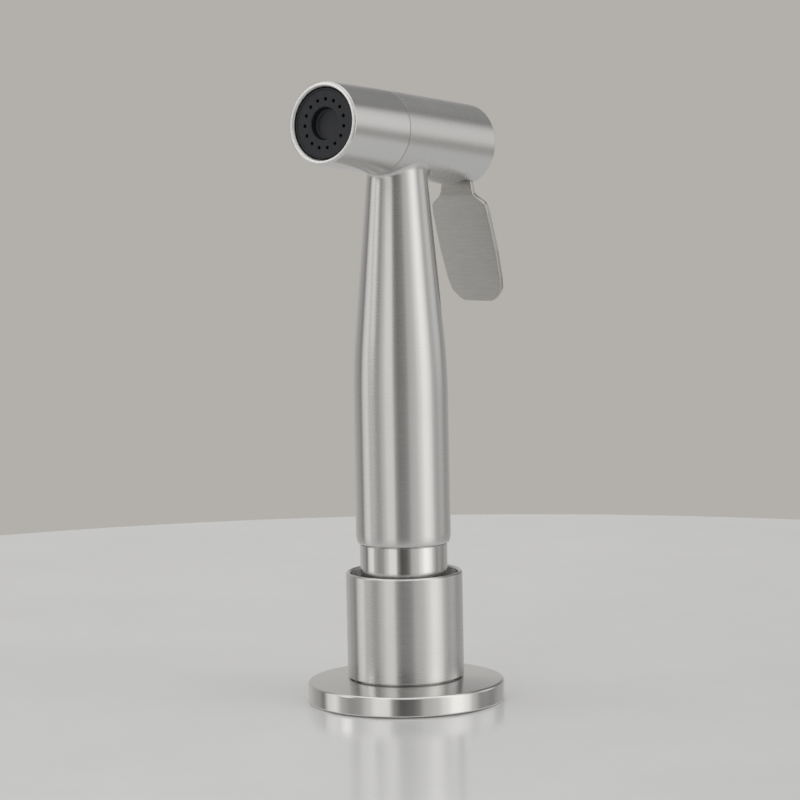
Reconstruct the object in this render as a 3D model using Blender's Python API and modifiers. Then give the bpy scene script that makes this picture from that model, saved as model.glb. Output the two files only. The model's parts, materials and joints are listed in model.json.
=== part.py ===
"""Side spray for a kitchen sink, standing in its deck holder.

A trigger spray rests in a round cup that is clamped through a hole in the deck. The sprayer lifts out of the
cup and turns in it on a plastic guide bush. Squeezing the lever pulls a valve stem backwards inside the head
and opens the water to fifteen jets.

Frame: +Z up, the deck's top surface is Z = 0 with the hole's centre at the origin, and the jets point to -Y.
Lengths are in metres. Pieces inside the head are placed in the head's own frame: its Z runs backwards along
the head's axis and its Y points down.
"""

import bpy
import bmesh
from math import cos, pi, radians, sin, sqrt, tan
from mathutils import Matrix, Vector

MM = 0.001

# ---------------------------------------------------------------- clearances
GAP = 0.3 * MM                    # between pieces that touch
PIN_GAP = 0.2 * MM                # round a pin or a stem

# ---------------------------------------------------------------- deck and flange
DECK_THICKNESS = 6.0 * MM         # sheet and backing board between gasket and washer
FLANGE_RADIUS = 27.0 * MM
FLANGE_SIDE_HEIGHT = 5.65 * MM
FLANGE_TOP = 6.7 * MM             # highest point, under the cup
FLANGE_EDGE_ROUND = 0.65 * MM
FLANGE_FOOT_BEVEL = 0.45 * MM
FLANGE_RIM_WALL = 1.6 * MM
GASKET_THICKNESS = 1.5 * MM
GASKET_WIDTH = 5.4 * MM

# ---------------------------------------------------------------- shank and its nut
CUP_THREAD_WALL = 1.7 * MM        # wall of the cup round the M28 thread of the shank
SHANK_WALL = 2.0 * MM
SHANK_BELOW_DECK = 42.0 * MM
SHANK_ENGAGEMENT = 5.0 * MM       # length screwed into the cup
WASHER_WIDTH = 7.7 * MM
RUBBER_WASHER_THICKNESS = 2.0 * MM
STEEL_WASHER_THICKNESS = 1.5 * MM
NUT_WALL = 3.7 * MM               # from the thread to the middle of a flat
NUT_HEIGHT = 8.0 * MM
NUT_BEVEL = 1.0 * MM
SEAL_RADIUS = 0.45 * MM           # half thickness of the flange's O-ring

# ---------------------------------------------------------------- cup and guide bush
CUP_RADIUS = 16.0 * MM
CUP_WALL = 1.2 * MM
CUP_TOP = 35.87 * MM
CUP_EDGE = 0.4 * MM
BUSH_WALL = 2.2 * MM
BUSH_LIP_HEIGHT = 1.4 * MM
BUSH_LIP_WIDTH = 1.0 * MM
BUSH_BELOW_RIM = 4.4 * MM
RING_HEIGHT = 0.9 * MM            # retaining ring above the bush
RING_GROOVE = 0.6 * MM

# ---------------------------------------------------------------- handle
HANDLE_RADIUS = 13.0 * MM
HANDLE_WALL = 1.4 * MM
HANDLE_BOTTOM = 43.9 * MM
HANDLE_FOOT_HEIGHT = 3.0 * MM     # the rounded lower edge
HANDLE_FOOT_DEPTH = 0.6 * MM
HANDLE_TOP_RADIUS = 8.0 * MM      # where the cone meets the head
TAPER_LENGTH = 55.0 * MM          # from the corner of tube and cone to the height of HANDLE_TOP_RADIUS
TAPER_CORNER_Z = 92.3 * MM
TAPER_BLEND = 9.0 * MM            # tangent length of the soft corner

# ---------------------------------------------------------------- sleeve, nipple and filter
SLEEVE_SPIGOT_LENGTH = 8.5 * MM
SLEEVE_WALL = 1.1 * MM
SPIGOT_WALL = 1.6 * MM
NIPPLE_STEP = 0.3 * MM            # from the nipple's body down to its G 1/2 thread
NIPPLE_THREAD_LENGTH = 13.0 * MM
NIPPLE_IN_SLEEVE = 16.0 * MM
NIPPLE_BORE = 7.5 * MM
RING_CORD = 1.6 * MM              # thickness of the O-rings
GROOVE_DEPTH = 1.1 * MM
FILTER_THICKNESS = 1.2 * MM
FILTER_HOLES = 8
FILTER_HOLE_RADIUS = 1.3 * MM

# ---------------------------------------------------------------- head
HEAD_Z = 155.23 * MM              # height of the head's axis over the deck, on the handle's axis
HEAD_TILT = 6.54                  # degrees that the jets point above level
HEAD_RADIUS = 11.5 * MM
HEAD_WALL = 1.2 * MM
HEAD_FRONT = -8.85 * MM           # the seam with the nozzle cap
HEAD_REAR = 31.0 * MM
HEAD_EDGE = 1.2 * MM
HEAD_PORT_RADIUS = 5.0 * MM

# ---------------------------------------------------------------- nozzle
NOZZLE_FRONT = -32.45 * MM
NOZZLE_STEP = 0.4 * MM            # the cap is this much slimmer than the head
NOZZLE_WALL = 1.0 * MM
NOZZLE_EDGE = 0.7 * MM
NOZZLE_LIP = 0.4 * MM             # how far the front lip stands inside the bore
NOZZLE_LIP_LENGTH = 1.95 * MM
FACE_RECESS = 0.7 * MM
FACE_RIM_WIDTH = 0.4 * MM
FACE_RIM_HEIGHT = 0.25 * MM
FACE_FLANGE_LENGTH = 2.5 * MM
FACE_THICKNESS = 1.6 * MM
FACE_CUP_RADIUS = 4.3 * MM
FACE_CUP_DEPTH = 2.2 * MM
JET_COUNT = 15
JET_RADIUS = 0.5 * MM
JET_CIRCLE = 6.5 * MM
FACE_SEAL_THICKNESS = 1.2 * MM
JET_PLATE_THICKNESS = 1.2 * MM
PLATE_HOLES = 10
PLATE_HOLE_RADIUS = 1.0 * MM
SPACER_WALL = 1.2 * MM

# ---------------------------------------------------------------- valve
SPIGOT_FRONT = -17.5 * MM         # front end of the valve body, inside the nozzle cap
SEAT_STEP = -5.0 * MM
SEAT_BORE = 6.8 * MM
SEAT_ORIFICE = 3.0 * MM
SEAT_LENGTH = 3.5 * MM
SEAT_LIP = 0.5 * MM
CHAMBER_RADIUS = 5.6 * MM
CHAMBER_REAR = 8.0 * MM
CHAMBER_WALL = 1.6 * MM
PORT_RADIUS = 3.5 * MM
STEM_RADIUS = 1.5 * MM
GLAND_RADIUS = 4.8 * MM
GLAND_DEPTH = 4.0 * MM
GLAND_NUT_LENGTH = 2.8 * MM
CHEEK_SLOT = 5.5 * MM             # half the slot between them
DISC_RADIUS = 4.6 * MM
DISC_FLANGE = 1.5 * MM
WASHER_THICK = 2.0 * MM
STUB_RADIUS = 1.3 * MM
NUT_SMALL_LENGTH = 1.1 * MM
NUT_SMALL_RADIUS = 2.4 * MM
STEM_NUT_RADIUS = 2.7 * MM
STEM_NUT_LENGTH = 1.4 * MM
SPRING_WIRE = 0.4 * MM            # radius of the wire
SPRING_RADIUS = 3.2 * MM
SPRING_TURNS = 4.5
PLUG_THICKNESS = 2.4 * MM

# ---------------------------------------------------------------- lever, measured from its pin
PIVOT_FROM_REAR = 8.0 * MM        # along the head's axis
PIVOT_DOWN = 5.5 * MM             # below the head's axis
PIN_RADIUS = 1.5 * MM
HUB_WALL = 0.6 * MM               # round the pin
HUB_CLEARANCE = 0.5 * MM          # each side of the hub, between the cheeks
FORK_CLEARANCE = 0.5 * MM         # each side of the stem
FORK_WIDTH = 2.2 * MM             # of one arm
FORK_RISE = 6.7 * MM
FORK_FRONT = 1.3 * MM
FORK_REAR = 1.1 * MM
LEVER_THICKNESS = 1.8 * MM
NECK_FRONT = 5.18 * MM            # front face of the neck, behind the pin
NECK_BEND = -9.25 * MM            # height of the bend, from the pin
BLADE_ANGLE = 18.5                # degrees from vertical
BLADE_LENGTH = 31.7 * MM          # from the bend to the lower edge
WEB_RISE = 0.2 * MM               # upper face of the web, over the pin's centre
NECK_HALF_WIDTH = 5.0 * MM
BEND_HALF_WIDTH = 5.7 * MM
SHOULDER_HALF_WIDTH = 9.0 * MM
BLADE_HALF_WIDTH = 9.55 * MM
TIP_HALF_WIDTH = 4.4 * MM
NOTCH_CLEARANCE = 0.6 * MM
NOTCH_AHEAD = 3.6 * MM            # from the neck's front face to the notch's front

# ---------------------------------------------------------------- fineness
LARGE = 32
SMALL = 16
ARC_STEPS = 3

# ---------------------------------------------------------------- sizes that follow
SHANK_HOLE = CUP_RADIUS - CUP_THREAD_WALL
SHANK_RADIUS = SHANK_HOLE - GAP
SHANK_BORE = SHANK_RADIUS - SHANK_WALL
WASHER_RADIUS = SHANK_HOLE + WASHER_WIDTH
CUP_BOTTOM = FLANGE_TOP + GAP
CUP_BORE = CUP_RADIUS - CUP_WALL
SHANK_TOP = CUP_BOTTOM + SHANK_ENGAGEMENT
BUSH_RADIUS = CUP_BORE - GAP
BUSH_BORE = BUSH_RADIUS - BUSH_WALL
BUSH_BOTTOM = SHANK_TOP + GAP
BUSH_TOP = CUP_TOP - BUSH_BELOW_RIM
SLEEVE_RADIUS = BUSH_BORE - GAP
SLEEVE_BOTTOM = BUSH_BOTTOM + BUSH_LIP_HEIGHT + GAP
SLEEVE_TOP = HANDLE_BOTTOM - GAP
SLEEVE_BORE = SLEEVE_RADIUS - SLEEVE_WALL
HANDLE_BORE = HANDLE_RADIUS - HANDLE_WALL
SPIGOT_RADIUS = HANDLE_BORE - GAP
SPIGOT_BORE = SPIGOT_RADIUS - SPIGOT_WALL
NIPPLE_BODY = SLEEVE_BORE - GAP
NIPPLE_RADIUS = NIPPLE_BODY - NIPPLE_STEP
NIPPLE_TOP = SLEEVE_BOTTOM + NIPPLE_IN_SLEEVE
NIPPLE_BOTTOM = SLEEVE_BOTTOM - NIPPLE_THREAD_LENGTH
TAPER_SLOPE = (HANDLE_RADIUS - HANDLE_TOP_RADIUS) / TAPER_LENGTH
HEAD_BORE = HEAD_RADIUS - HEAD_WALL
BODY_RADIUS = HEAD_BORE - GAP
NOZZLE_RADIUS = HEAD_RADIUS - NOZZLE_STEP
NOZZLE_BORE = NOZZLE_RADIUS - NOZZLE_WALL
BODY_SPIGOT = NOZZLE_BORE - GAP
FACE_RADIUS = NOZZLE_BORE - NOZZLE_LIP - GAP
FACE_FRONT = NOZZLE_FRONT + FACE_RECESS
FACE_FLANGE_FRONT = NOZZLE_FRONT + NOZZLE_LIP_LENGTH + GAP
FACE_REAR = FACE_FLANGE_FRONT + FACE_FLANGE_LENGTH
FACE_SEAL_FRONT = FACE_REAR + GAP
JET_PLATE_FRONT = FACE_SEAL_FRONT + FACE_SEAL_THICKNESS + GAP
SPACER_FRONT = JET_PLATE_FRONT + JET_PLATE_THICKNESS + GAP
GLAND_FRONT = CHAMBER_REAR + CHAMBER_WALL
GLAND_REAR = GLAND_FRONT + GLAND_DEPTH
SEAT_REAR = SEAT_STEP - GAP
DISC_FRONT = SEAT_REAR + SEAT_LIP + GAP
DISC_REAR = DISC_FRONT + WASHER_THICK
FLANGE_FRONT_U = DISC_REAR + GAP
FLANGE_REAR_U = FLANGE_FRONT_U + DISC_FLANGE
PLUG_FRONT = HEAD_REAR - GAP - PLUG_THICKNESS
CHEEK_REAR = PLUG_FRONT - GAP
PIVOT_BACK = HEAD_REAR - PIVOT_FROM_REAR
PIN_LENGTH = 2 * sqrt(BODY_RADIUS ** 2 - (PIVOT_DOWN + PIN_RADIUS) ** 2) - 2 * PIN_GAP
HUB_RADIUS = PIN_RADIUS + PIN_GAP + HUB_WALL
HUB_WIDTH = 2 * (CHEEK_SLOT - HUB_CLEARANCE)
FORK_INNER = STEM_RADIUS + FORK_CLEARANCE
FORK_OUTER = FORK_INNER + FORK_WIDTH
STEM_NUT_FRONT = PIVOT_BACK + FORK_REAR + GAP
STEM_NUT_REAR = STEM_NUT_FRONT + STEM_NUT_LENGTH
STEM_REAR = STEM_NUT_REAR + PIN_GAP
NOTCH_HALF_WIDTH = NECK_HALF_WIDTH + NOTCH_CLEARANCE
NOTCH_TOP = PIVOT_DOWN - WEB_RISE - NOTCH_CLEARANCE
NOTCH_FRONT = PIVOT_BACK + NECK_FRONT - NOTCH_AHEAD

# ---------------------------------------------------------------- scene, collections, frames
for old in list(bpy.data.objects):
    bpy.data.objects.remove(old)

parts = bpy.data.collections.new("side_spray")
bpy.context.scene.collection.children.link(parts)
cutters = bpy.data.collections.new("cutters")
bpy.context.scene.collection.children.link(cutters)


def frame_empty(name, parent=None, location=(0, 0, 0), rotation=(0, 0, 0)):
    """An empty that pieces hang on; a moving body's empty lies on its joint's axis."""
    empty = bpy.data.objects.new(name, None)
    empty.empty_display_size = 0.01
    parts.objects.link(empty)
    empty.parent = parent
    empty.location = location
    empty.rotation_euler = rotation
    return empty


def in_head(side, back, down):
    """A point of the head's frame: sideways, backwards along the axis, and below the axis."""
    return Vector((side, down, back))


holder = frame_empty("holder_frame")
guide = frame_empty("guide_frame", holder)
sprayer = frame_empty("sprayer_frame", guide)
head = frame_empty("head_frame", sprayer, (0, 0, HEAD_Z), (radians(-90 - HEAD_TILT), 0, 0))
stem = frame_empty("stem_frame", head)
pivot = frame_empty("lever_pivot", head, in_head(0, PIVOT_BACK, PIVOT_DOWN), (radians(90 + HEAD_TILT), 0, 0))


# ---------------------------------------------------------------- materials
def material(name, colour, roughness, metallic):
    """A Principled surface of one colour."""
    made = bpy.data.materials.new(name)
    made.use_nodes = True
    shader = made.node_tree.nodes["Principled BSDF"]
    shader.inputs["Base Color"].default_value = (*colour, 1)
    shader.inputs["Roughness"].default_value = roughness
    shader.inputs["Metallic"].default_value = metallic
    return made


SURFACES = {
    "brushed_steel": ((0.60, 0.59, 0.57), 0.34, 1.0),
    "polished_steel": ((0.72, 0.71, 0.69), 0.14, 1.0),
    "lever_steel": ((0.52, 0.52, 0.51), 0.38, 1.0),
    "plain_steel": ((0.55, 0.55, 0.56), 0.40, 1.0),
    "brass": ((0.72, 0.53, 0.27), 0.35, 1.0),
    "black_plastic": ((0.035, 0.037, 0.04), 0.40, 0.0),
    "grey_plastic": ((0.30, 0.30, 0.30), 0.50, 0.0),
    "white_plastic": ((0.80, 0.79, 0.76), 0.45, 0.0),
    "rubber": ((0.03, 0.03, 0.03), 0.75, 0.0),
}


def dress(piece, surface):
    """Give a piece its own copy of a surface."""
    piece.data.materials.append(material(piece.name + "_" + surface, *SURFACES[surface]))


# ---------------------------------------------------------------- shape helpers
def arc(centre_r, centre_z, radius_r, radius_z, start, end):
    """Profile points (r, z) on part of an ellipse, from start to end in degrees."""
    angles = [radians(start + (end - start) * i / ARC_STEPS) for i in range(ARC_STEPS + 1)]
    return [(centre_r + radius_r * cos(a), centre_z + radius_z * sin(a)) for a in angles]


def piece_object(name, mesh, parent, collection=parts):
    """Put a mesh in a collection under a parent."""
    made = bpy.data.objects.new(name, mesh)
    collection.objects.link(made)
    made.parent = parent
    return made


def turned(name, profile, steps, parent, surface=None, closed=True, collection=parts):
    """A turned piece: the profile runs down the outer side and, if closed, back up the bore."""
    bm = bmesh.new()
    points = [bm.verts.new((r, 0, z)) for r, z in profile]
    for first, second in zip(points, points[1:]):
        bm.edges.new((first, second))
    if closed:
        bm.edges.new((points[-1], points[0]))
    mesh = bpy.data.meshes.new(name)
    bm.to_mesh(mesh)
    bm.free()
    made = piece_object(name, mesh, parent, collection)
    screw = made.modifiers.new("turn", "SCREW")
    screw.axis = "Z"
    screw.angle = 2 * pi
    screw.steps = steps
    screw.render_steps = steps
    screw.use_smooth_shade = True
    screw.use_merge_vertices = True
    screw.merge_threshold = 0.00001
    if surface:
        dress(made, surface)
    return made


def ring(name, outer, inner, top, bottom, steps, parent, surface):
    """A plain flat ring or tube."""
    profile = [(outer, top), (outer, bottom), (inner, bottom), (inner, top)]
    return turned(name, profile, steps, parent, surface)


def o_ring(name, inner, outer, centre_z, parent, steps=LARGE):
    """A rubber ring of round section."""
    radius = (outer - inner) / 2
    middle = inner + radius
    turns = [-2 * pi * i / 6 for i in range(6)]
    profile = [(middle + radius * cos(a), centre_z + radius * sin(a)) for a in turns]
    return turned(name, profile, steps, parent, "rubber")


def rod(name, radius, length, parent, location, rotation=(0, 0, 0), steps=SMALL, collection=parts, surface=None):
    """A plain cylinder or prism, centred on its location."""
    bm = bmesh.new()
    bmesh.ops.create_cone(
        bm, cap_ends=True, segments=steps, radius1=radius, radius2=radius, depth=length
    )
    mesh = bpy.data.meshes.new(name)
    bm.to_mesh(mesh)
    bm.free()
    made = piece_object(name, mesh, parent, collection)
    made.location = location
    made.rotation_euler = rotation
    if surface:
        dress(made, surface)
    return made


def block(name, low, high, parent, collection=cutters):
    """A box from its lowest to its highest corner, in its parent's frame."""
    low = Vector(low)
    high = Vector(high)
    bm = bmesh.new()
    bmesh.ops.create_cube(bm, size=1)
    bmesh.ops.scale(bm, vec=high - low, verts=bm.verts)
    bmesh.ops.translate(bm, vec=(high + low) / 2, verts=bm.verts)
    mesh = bpy.data.meshes.new(name)
    bm.to_mesh(mesh)
    bm.free()
    return piece_object(name, mesh, parent, collection)


def outlined(name, outline, thickness, parent, collection=cutters):
    """A flat outline in the curve's XY plane, thickened evenly to both sides, as a mesh."""
    curve = bpy.data.curves.new(name + "_curve", "CURVE")
    curve.dimensions = "2D"
    curve.fill_mode = "BOTH"
    curve.extrude = thickness / 2
    spline = curve.splines.new("POLY")
    spline.points.add(len(outline) - 1)
    for point, (x, y) in zip(spline.points, outline):
        point.co = (x, y, 0, 1)
    spline.use_cyclic_u = True
    return curve_to_mesh(name, curve, parent, collection)


def curve_to_mesh(name, curve, parent, collection):
    """Turn a curve into a closed mesh object with its caps welded."""
    drawn = bpy.data.objects.new(name + "_drawn", curve)
    collection.objects.link(drawn)
    graph = bpy.context.evaluated_depsgraph_get()
    mesh = bpy.data.meshes.new_from_object(drawn.evaluated_get(graph))
    bm = bmesh.new()
    bm.from_mesh(mesh)
    bmesh.ops.remove_doubles(bm, verts=bm.verts, dist=0.000001)
    bmesh.ops.recalc_face_normals(bm, faces=bm.faces)
    bm.to_mesh(mesh)
    bm.free()
    bpy.data.objects.remove(drawn)
    return piece_object(name, mesh, parent, collection)


def combine(piece, other, operation):
    """Cut, join or intersect a piece with another, which then only guides."""
    other.hide_render = True
    other.display_type = "WIRE"
    boolean = piece.modifiers.new(other.name, "BOOLEAN")
    boolean.operation = operation
    boolean.object = other


# ---------------------------------------------------------------- holder
def flange():
    """The wide foot: a turned shell with a seat for the gasket and one for the O-ring."""
    gasket_outer = FLANGE_RADIUS - FLANGE_RIM_WALL
    gasket_inner = gasket_outer - GASKET_WIDTH - 2 * GAP
    side_top = FLANGE_SIDE_HEIGHT - FLANGE_EDGE_ROUND
    edge = arc(FLANGE_RADIUS - FLANGE_EDGE_ROUND, side_top, FLANGE_EDGE_ROUND, FLANGE_EDGE_ROUND, 90, 0)
    seal_seat = CUP_RADIUS - 2 * GAP
    seal_floor = FLANGE_TOP - 4 * SEAL_RADIUS
    hole = SHANK_HOLE
    profile = [(seal_seat, FLANGE_TOP)]
    profile += edge
    profile += [
        (FLANGE_RADIUS, GAP + FLANGE_FOOT_BEVEL),
        (FLANGE_RADIUS - FLANGE_FOOT_BEVEL, GAP),
        (gasket_outer, GAP),
        (gasket_outer, GASKET_THICKNESS + GAP),
        (gasket_inner, GASKET_THICKNESS + GAP),
        (gasket_inner, GAP),
        (hole, GAP),
        (hole, seal_floor),
        (seal_seat, seal_floor),
    ]
    turned("flange", profile, LARGE, holder, "polished_steel")
    o_ring("flange_o_ring", hole, hole + 2 * SEAL_RADIUS, FLANGE_TOP - 2 * SEAL_RADIUS, holder)
    ring("deck_gasket", gasket_outer - GAP, gasket_inner + GAP, GASKET_THICKNESS, 0, LARGE, holder, "rubber")


def cup():
    """The upright cup, screwed on the shank, with a groove for the retaining ring."""
    groove_bottom = BUSH_TOP + GAP
    groove_top = groove_bottom + RING_HEIGHT + 2 * GAP
    profile = [
        (CUP_RADIUS - CUP_EDGE, CUP_TOP),
        (CUP_RADIUS, CUP_TOP - CUP_EDGE),
        (CUP_RADIUS, CUP_BOTTOM),
        (SHANK_HOLE, CUP_BOTTOM),
        (SHANK_HOLE, SHANK_TOP),
        (CUP_BORE, SHANK_TOP),
        (CUP_BORE, groove_bottom),
        (CUP_BORE + RING_GROOVE, groove_bottom),
        (CUP_BORE + RING_GROOVE, groove_top),
        (CUP_BORE, groove_top),
        (CUP_BORE, CUP_TOP - CUP_EDGE),
        (CUP_BORE + CUP_EDGE, CUP_TOP),
    ]
    turned("holder_cup", profile, LARGE, holder, "brushed_steel")
    ring_outer = CUP_BORE + RING_GROOVE - GAP
    ring("retaining_ring", ring_outer, BUSH_RADIUS - 2 * GAP, groove_top - GAP, groove_bottom + GAP,
         SMALL, holder, "plain_steel")


def shank_and_nut():
    """The hollow threaded shank and what clamps it under the deck."""
    ring("threaded_shank", SHANK_RADIUS, SHANK_BORE, SHANK_TOP, -SHANK_BELOW_DECK, LARGE, holder, "brass")
    hole = SHANK_HOLE
    rubber_top = -DECK_THICKNESS
    steel_top = rubber_top - RUBBER_WASHER_THICKNESS - GAP
    nut_top = steel_top - STEEL_WASHER_THICKNESS - GAP
    ring("rubber_washer", WASHER_RADIUS, hole, rubber_top, rubber_top - RUBBER_WASHER_THICKNESS,
         LARGE, holder, "rubber")
    ring("steel_washer", WASHER_RADIUS, hole, steel_top, steel_top - STEEL_WASHER_THICKNESS,
         LARGE, holder, "plain_steel")
    corner = (SHANK_HOLE + NUT_WALL) / cos(radians(30))
    nut_middle = (0, 0, nut_top - NUT_HEIGHT / 2)
    nut = rod("lock_nut", corner, NUT_HEIGHT, holder, nut_middle, steps=6, surface="brass")
    bevel_profile = [
        (0, NUT_HEIGHT / 2),
        (corner - NUT_BEVEL, NUT_HEIGHT / 2),
        (corner, NUT_HEIGHT / 2 - NUT_BEVEL / 2),
        (corner, NUT_BEVEL / 2 - NUT_HEIGHT / 2),
        (corner - NUT_BEVEL, -NUT_HEIGHT / 2),
        (0, -NUT_HEIGHT / 2),
    ]
    turning = turned("nut_turning", bevel_profile, LARGE, nut, closed=False, collection=cutters)
    combine(nut, turning, "INTERSECT")
    combine(nut, rod("nut_bore", hole, 2 * NUT_HEIGHT, nut, (0, 0, 0), steps=LARGE, collection=cutters),
            "DIFFERENCE")


# ---------------------------------------------------------------- guide
def guide_bush():
    """The plastic bush that turns in the cup; its lip carries the sleeve."""
    lip_bore = BUSH_BORE - BUSH_LIP_WIDTH
    lip_top = BUSH_BOTTOM + BUSH_LIP_HEIGHT
    profile = [
        (BUSH_RADIUS, BUSH_TOP),
        (BUSH_RADIUS, BUSH_BOTTOM),
        (lip_bore, BUSH_BOTTOM),
        (lip_bore, lip_top),
        (BUSH_BORE, lip_top),
        (BUSH_BORE, BUSH_TOP),
    ]
    turned("guide_bush", profile, LARGE, guide, "grey_plastic")


# ---------------------------------------------------------------- sprayer, below the head
def handle_radius(z):
    """Outer radius of the grip: a tube, a soft corner and a straight cone."""
    start = TAPER_CORNER_Z - TAPER_BLEND
    end = TAPER_CORNER_Z + TAPER_BLEND
    if z <= start:
        return HANDLE_RADIUS
    if z >= end:
        return HANDLE_RADIUS - TAPER_SLOPE * (z - TAPER_CORNER_Z)
    return HANDLE_RADIUS - TAPER_SLOPE * (z - start) ** 2 / (4 * TAPER_BLEND)


def handle():
    """The tapered grip tube, cut to a saddle that meets the head's shell."""
    top = HEAD_Z - HEAD_RADIUS / 3
    taper_start = TAPER_CORNER_Z - TAPER_BLEND
    blend = [taper_start + 2 * TAPER_BLEND * i / 6 for i in range(7)]
    outer = [(handle_radius(z), z) for z in [top] + blend[::-1]]
    foot_top = HANDLE_BOTTOM + HANDLE_FOOT_HEIGHT
    foot = arc(HANDLE_RADIUS - HANDLE_FOOT_DEPTH, foot_top, HANDLE_FOOT_DEPTH, HANDLE_FOOT_HEIGHT, 0, -90)
    inner = [(handle_radius(z) - HANDLE_WALL, z) for z in [HANDLE_BOTTOM] + blend + [top]]
    tube = turned("handle_tube", outer + foot + inner, LARGE, sprayer, "brushed_steel")
    saddle = rod("head_clearance", HEAD_RADIUS + GAP, 4 * HEAD_RADIUS, head, (0, 0, 0), steps=LARGE,
                 collection=cutters)
    combine(tube, saddle, "DIFFERENCE")


def sleeve_and_inlet():
    """The polished sleeve that stands in the bush, with the hose nipple and filter inside it."""
    ledge = NIPPLE_TOP + FILTER_THICKNESS + 2 * GAP
    groove_middle = SLEEVE_TOP + SLEEVE_SPIGOT_LENGTH / 2
    half_groove = RING_CORD / 2 + GAP
    groove_radius = SPIGOT_RADIUS - GROOVE_DEPTH
    chamfer = SLEEVE_WALL / 2
    profile = [
        (SPIGOT_RADIUS, SLEEVE_TOP + SLEEVE_SPIGOT_LENGTH),
        (SPIGOT_RADIUS, groove_middle + half_groove),
        (groove_radius, groove_middle + half_groove),
        (groove_radius, groove_middle - half_groove),
        (SPIGOT_RADIUS, groove_middle - half_groove),
        (SPIGOT_RADIUS, SLEEVE_TOP),
        (SLEEVE_RADIUS, SLEEVE_TOP),
        (SLEEVE_RADIUS, SLEEVE_BOTTOM + chamfer),
        (SLEEVE_RADIUS - chamfer, SLEEVE_BOTTOM),
        (SLEEVE_BORE, SLEEVE_BOTTOM),
        (SLEEVE_BORE, ledge),
        (SPIGOT_BORE - GROOVE_DEPTH, ledge),
        (SPIGOT_BORE - GROOVE_DEPTH, SLEEVE_TOP + SLEEVE_SPIGOT_LENGTH),
    ]
    turned("bottom_sleeve", profile, LARGE, sprayer, "polished_steel")
    o_ring("sleeve_o_ring", groove_radius + PIN_GAP, HANDLE_BORE - PIN_GAP, groove_middle, sprayer)

    nipple_groove = SLEEVE_BOTTOM + NIPPLE_IN_SLEEVE / 2
    nipple_groove_radius = NIPPLE_BODY - GROOVE_DEPTH
    nipple = [
        (NIPPLE_BODY, NIPPLE_TOP),
        (NIPPLE_BODY, nipple_groove + half_groove),
        (nipple_groove_radius, nipple_groove + half_groove),
        (nipple_groove_radius, nipple_groove - half_groove),
        (NIPPLE_BODY, nipple_groove - half_groove),
        (NIPPLE_BODY, SLEEVE_BOTTOM),
        (NIPPLE_RADIUS, SLEEVE_BOTTOM),
        (NIPPLE_RADIUS, NIPPLE_BOTTOM),
        (NIPPLE_BORE, NIPPLE_BOTTOM),
        (NIPPLE_BORE, NIPPLE_TOP),
    ]
    turned("hose_nipple", nipple, LARGE, sprayer, "brass")
    o_ring("nipple_o_ring", nipple_groove_radius + PIN_GAP, SLEEVE_BORE - PIN_GAP, nipple_groove, sprayer)

    filter_middle = NIPPLE_TOP + GAP + FILTER_THICKNESS / 2
    disc = rod("inlet_filter", NIPPLE_BODY, FILTER_THICKNESS, sprayer, (0, 0, filter_middle),
               surface="white_plastic")
    drill_circle(disc, "filter_hole", FILTER_HOLES, NIPPLE_BORE * 2 / 3, FILTER_HOLE_RADIUS, FILTER_THICKNESS)


def drill_circle(disc, name, count, circle, radius, depth, middle=0.0, first=0.0):
    """Drill a ring of equal holes along a disc's own Z."""
    for i in range(count):
        angle = first + 2 * pi * i / count
        place = (circle * cos(angle), circle * sin(angle), middle)
        drill = rod(name + "_" + str(i + 1), radius, 2 * depth, disc, place, (0, 0, angle + pi / 8), 8, cutters)
        combine(disc, drill, "DIFFERENCE")


# ---------------------------------------------------------------- sprayer, head and valve
def head_shell():
    """The plain tube of the head, open below for the water and at the back for the lever."""
    edge = arc(HEAD_RADIUS - HEAD_EDGE, HEAD_REAR - HEAD_EDGE, HEAD_EDGE, HEAD_EDGE, 90, 0)
    front = HEAD_FRONT + GAP / 2
    profile = edge + [(HEAD_RADIUS, front), (HEAD_BORE, front), (HEAD_BORE, HEAD_REAR - GAP)]
    shell = turned("head_shell", profile, LARGE, head, "brushed_steel")
    port = rod("head_port", HEAD_PORT_RADIUS, HEAD_RADIUS, head, in_head(0, 0, HEAD_RADIUS),
               (radians(90), 0, 0), collection=cutters)
    combine(shell, port, "DIFFERENCE")
    combine(shell, lever_notch("shell_notch"), "DIFFERENCE")


def lever_notch(name):
    """The notch in the lower rear edge of the head that the lever's neck comes out of."""
    low = (-NOTCH_HALF_WIDTH, NOTCH_TOP, NOTCH_FRONT)
    high = (NOTCH_HALF_WIDTH, 2 * HEAD_RADIUS, 2 * HEAD_REAR)
    return block(name, low, high, head)


def rear_plug():
    """The disc that closes the back of the head, notched for the lever."""
    middle = in_head(0, PLUG_FRONT + PLUG_THICKNESS / 2, 0)
    plug = rod("rear_plug", BODY_RADIUS, PLUG_THICKNESS, head, middle, steps=LARGE, surface="brushed_steel")
    combine(plug, lever_notch("plug_notch"), "DIFFERENCE")


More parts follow.
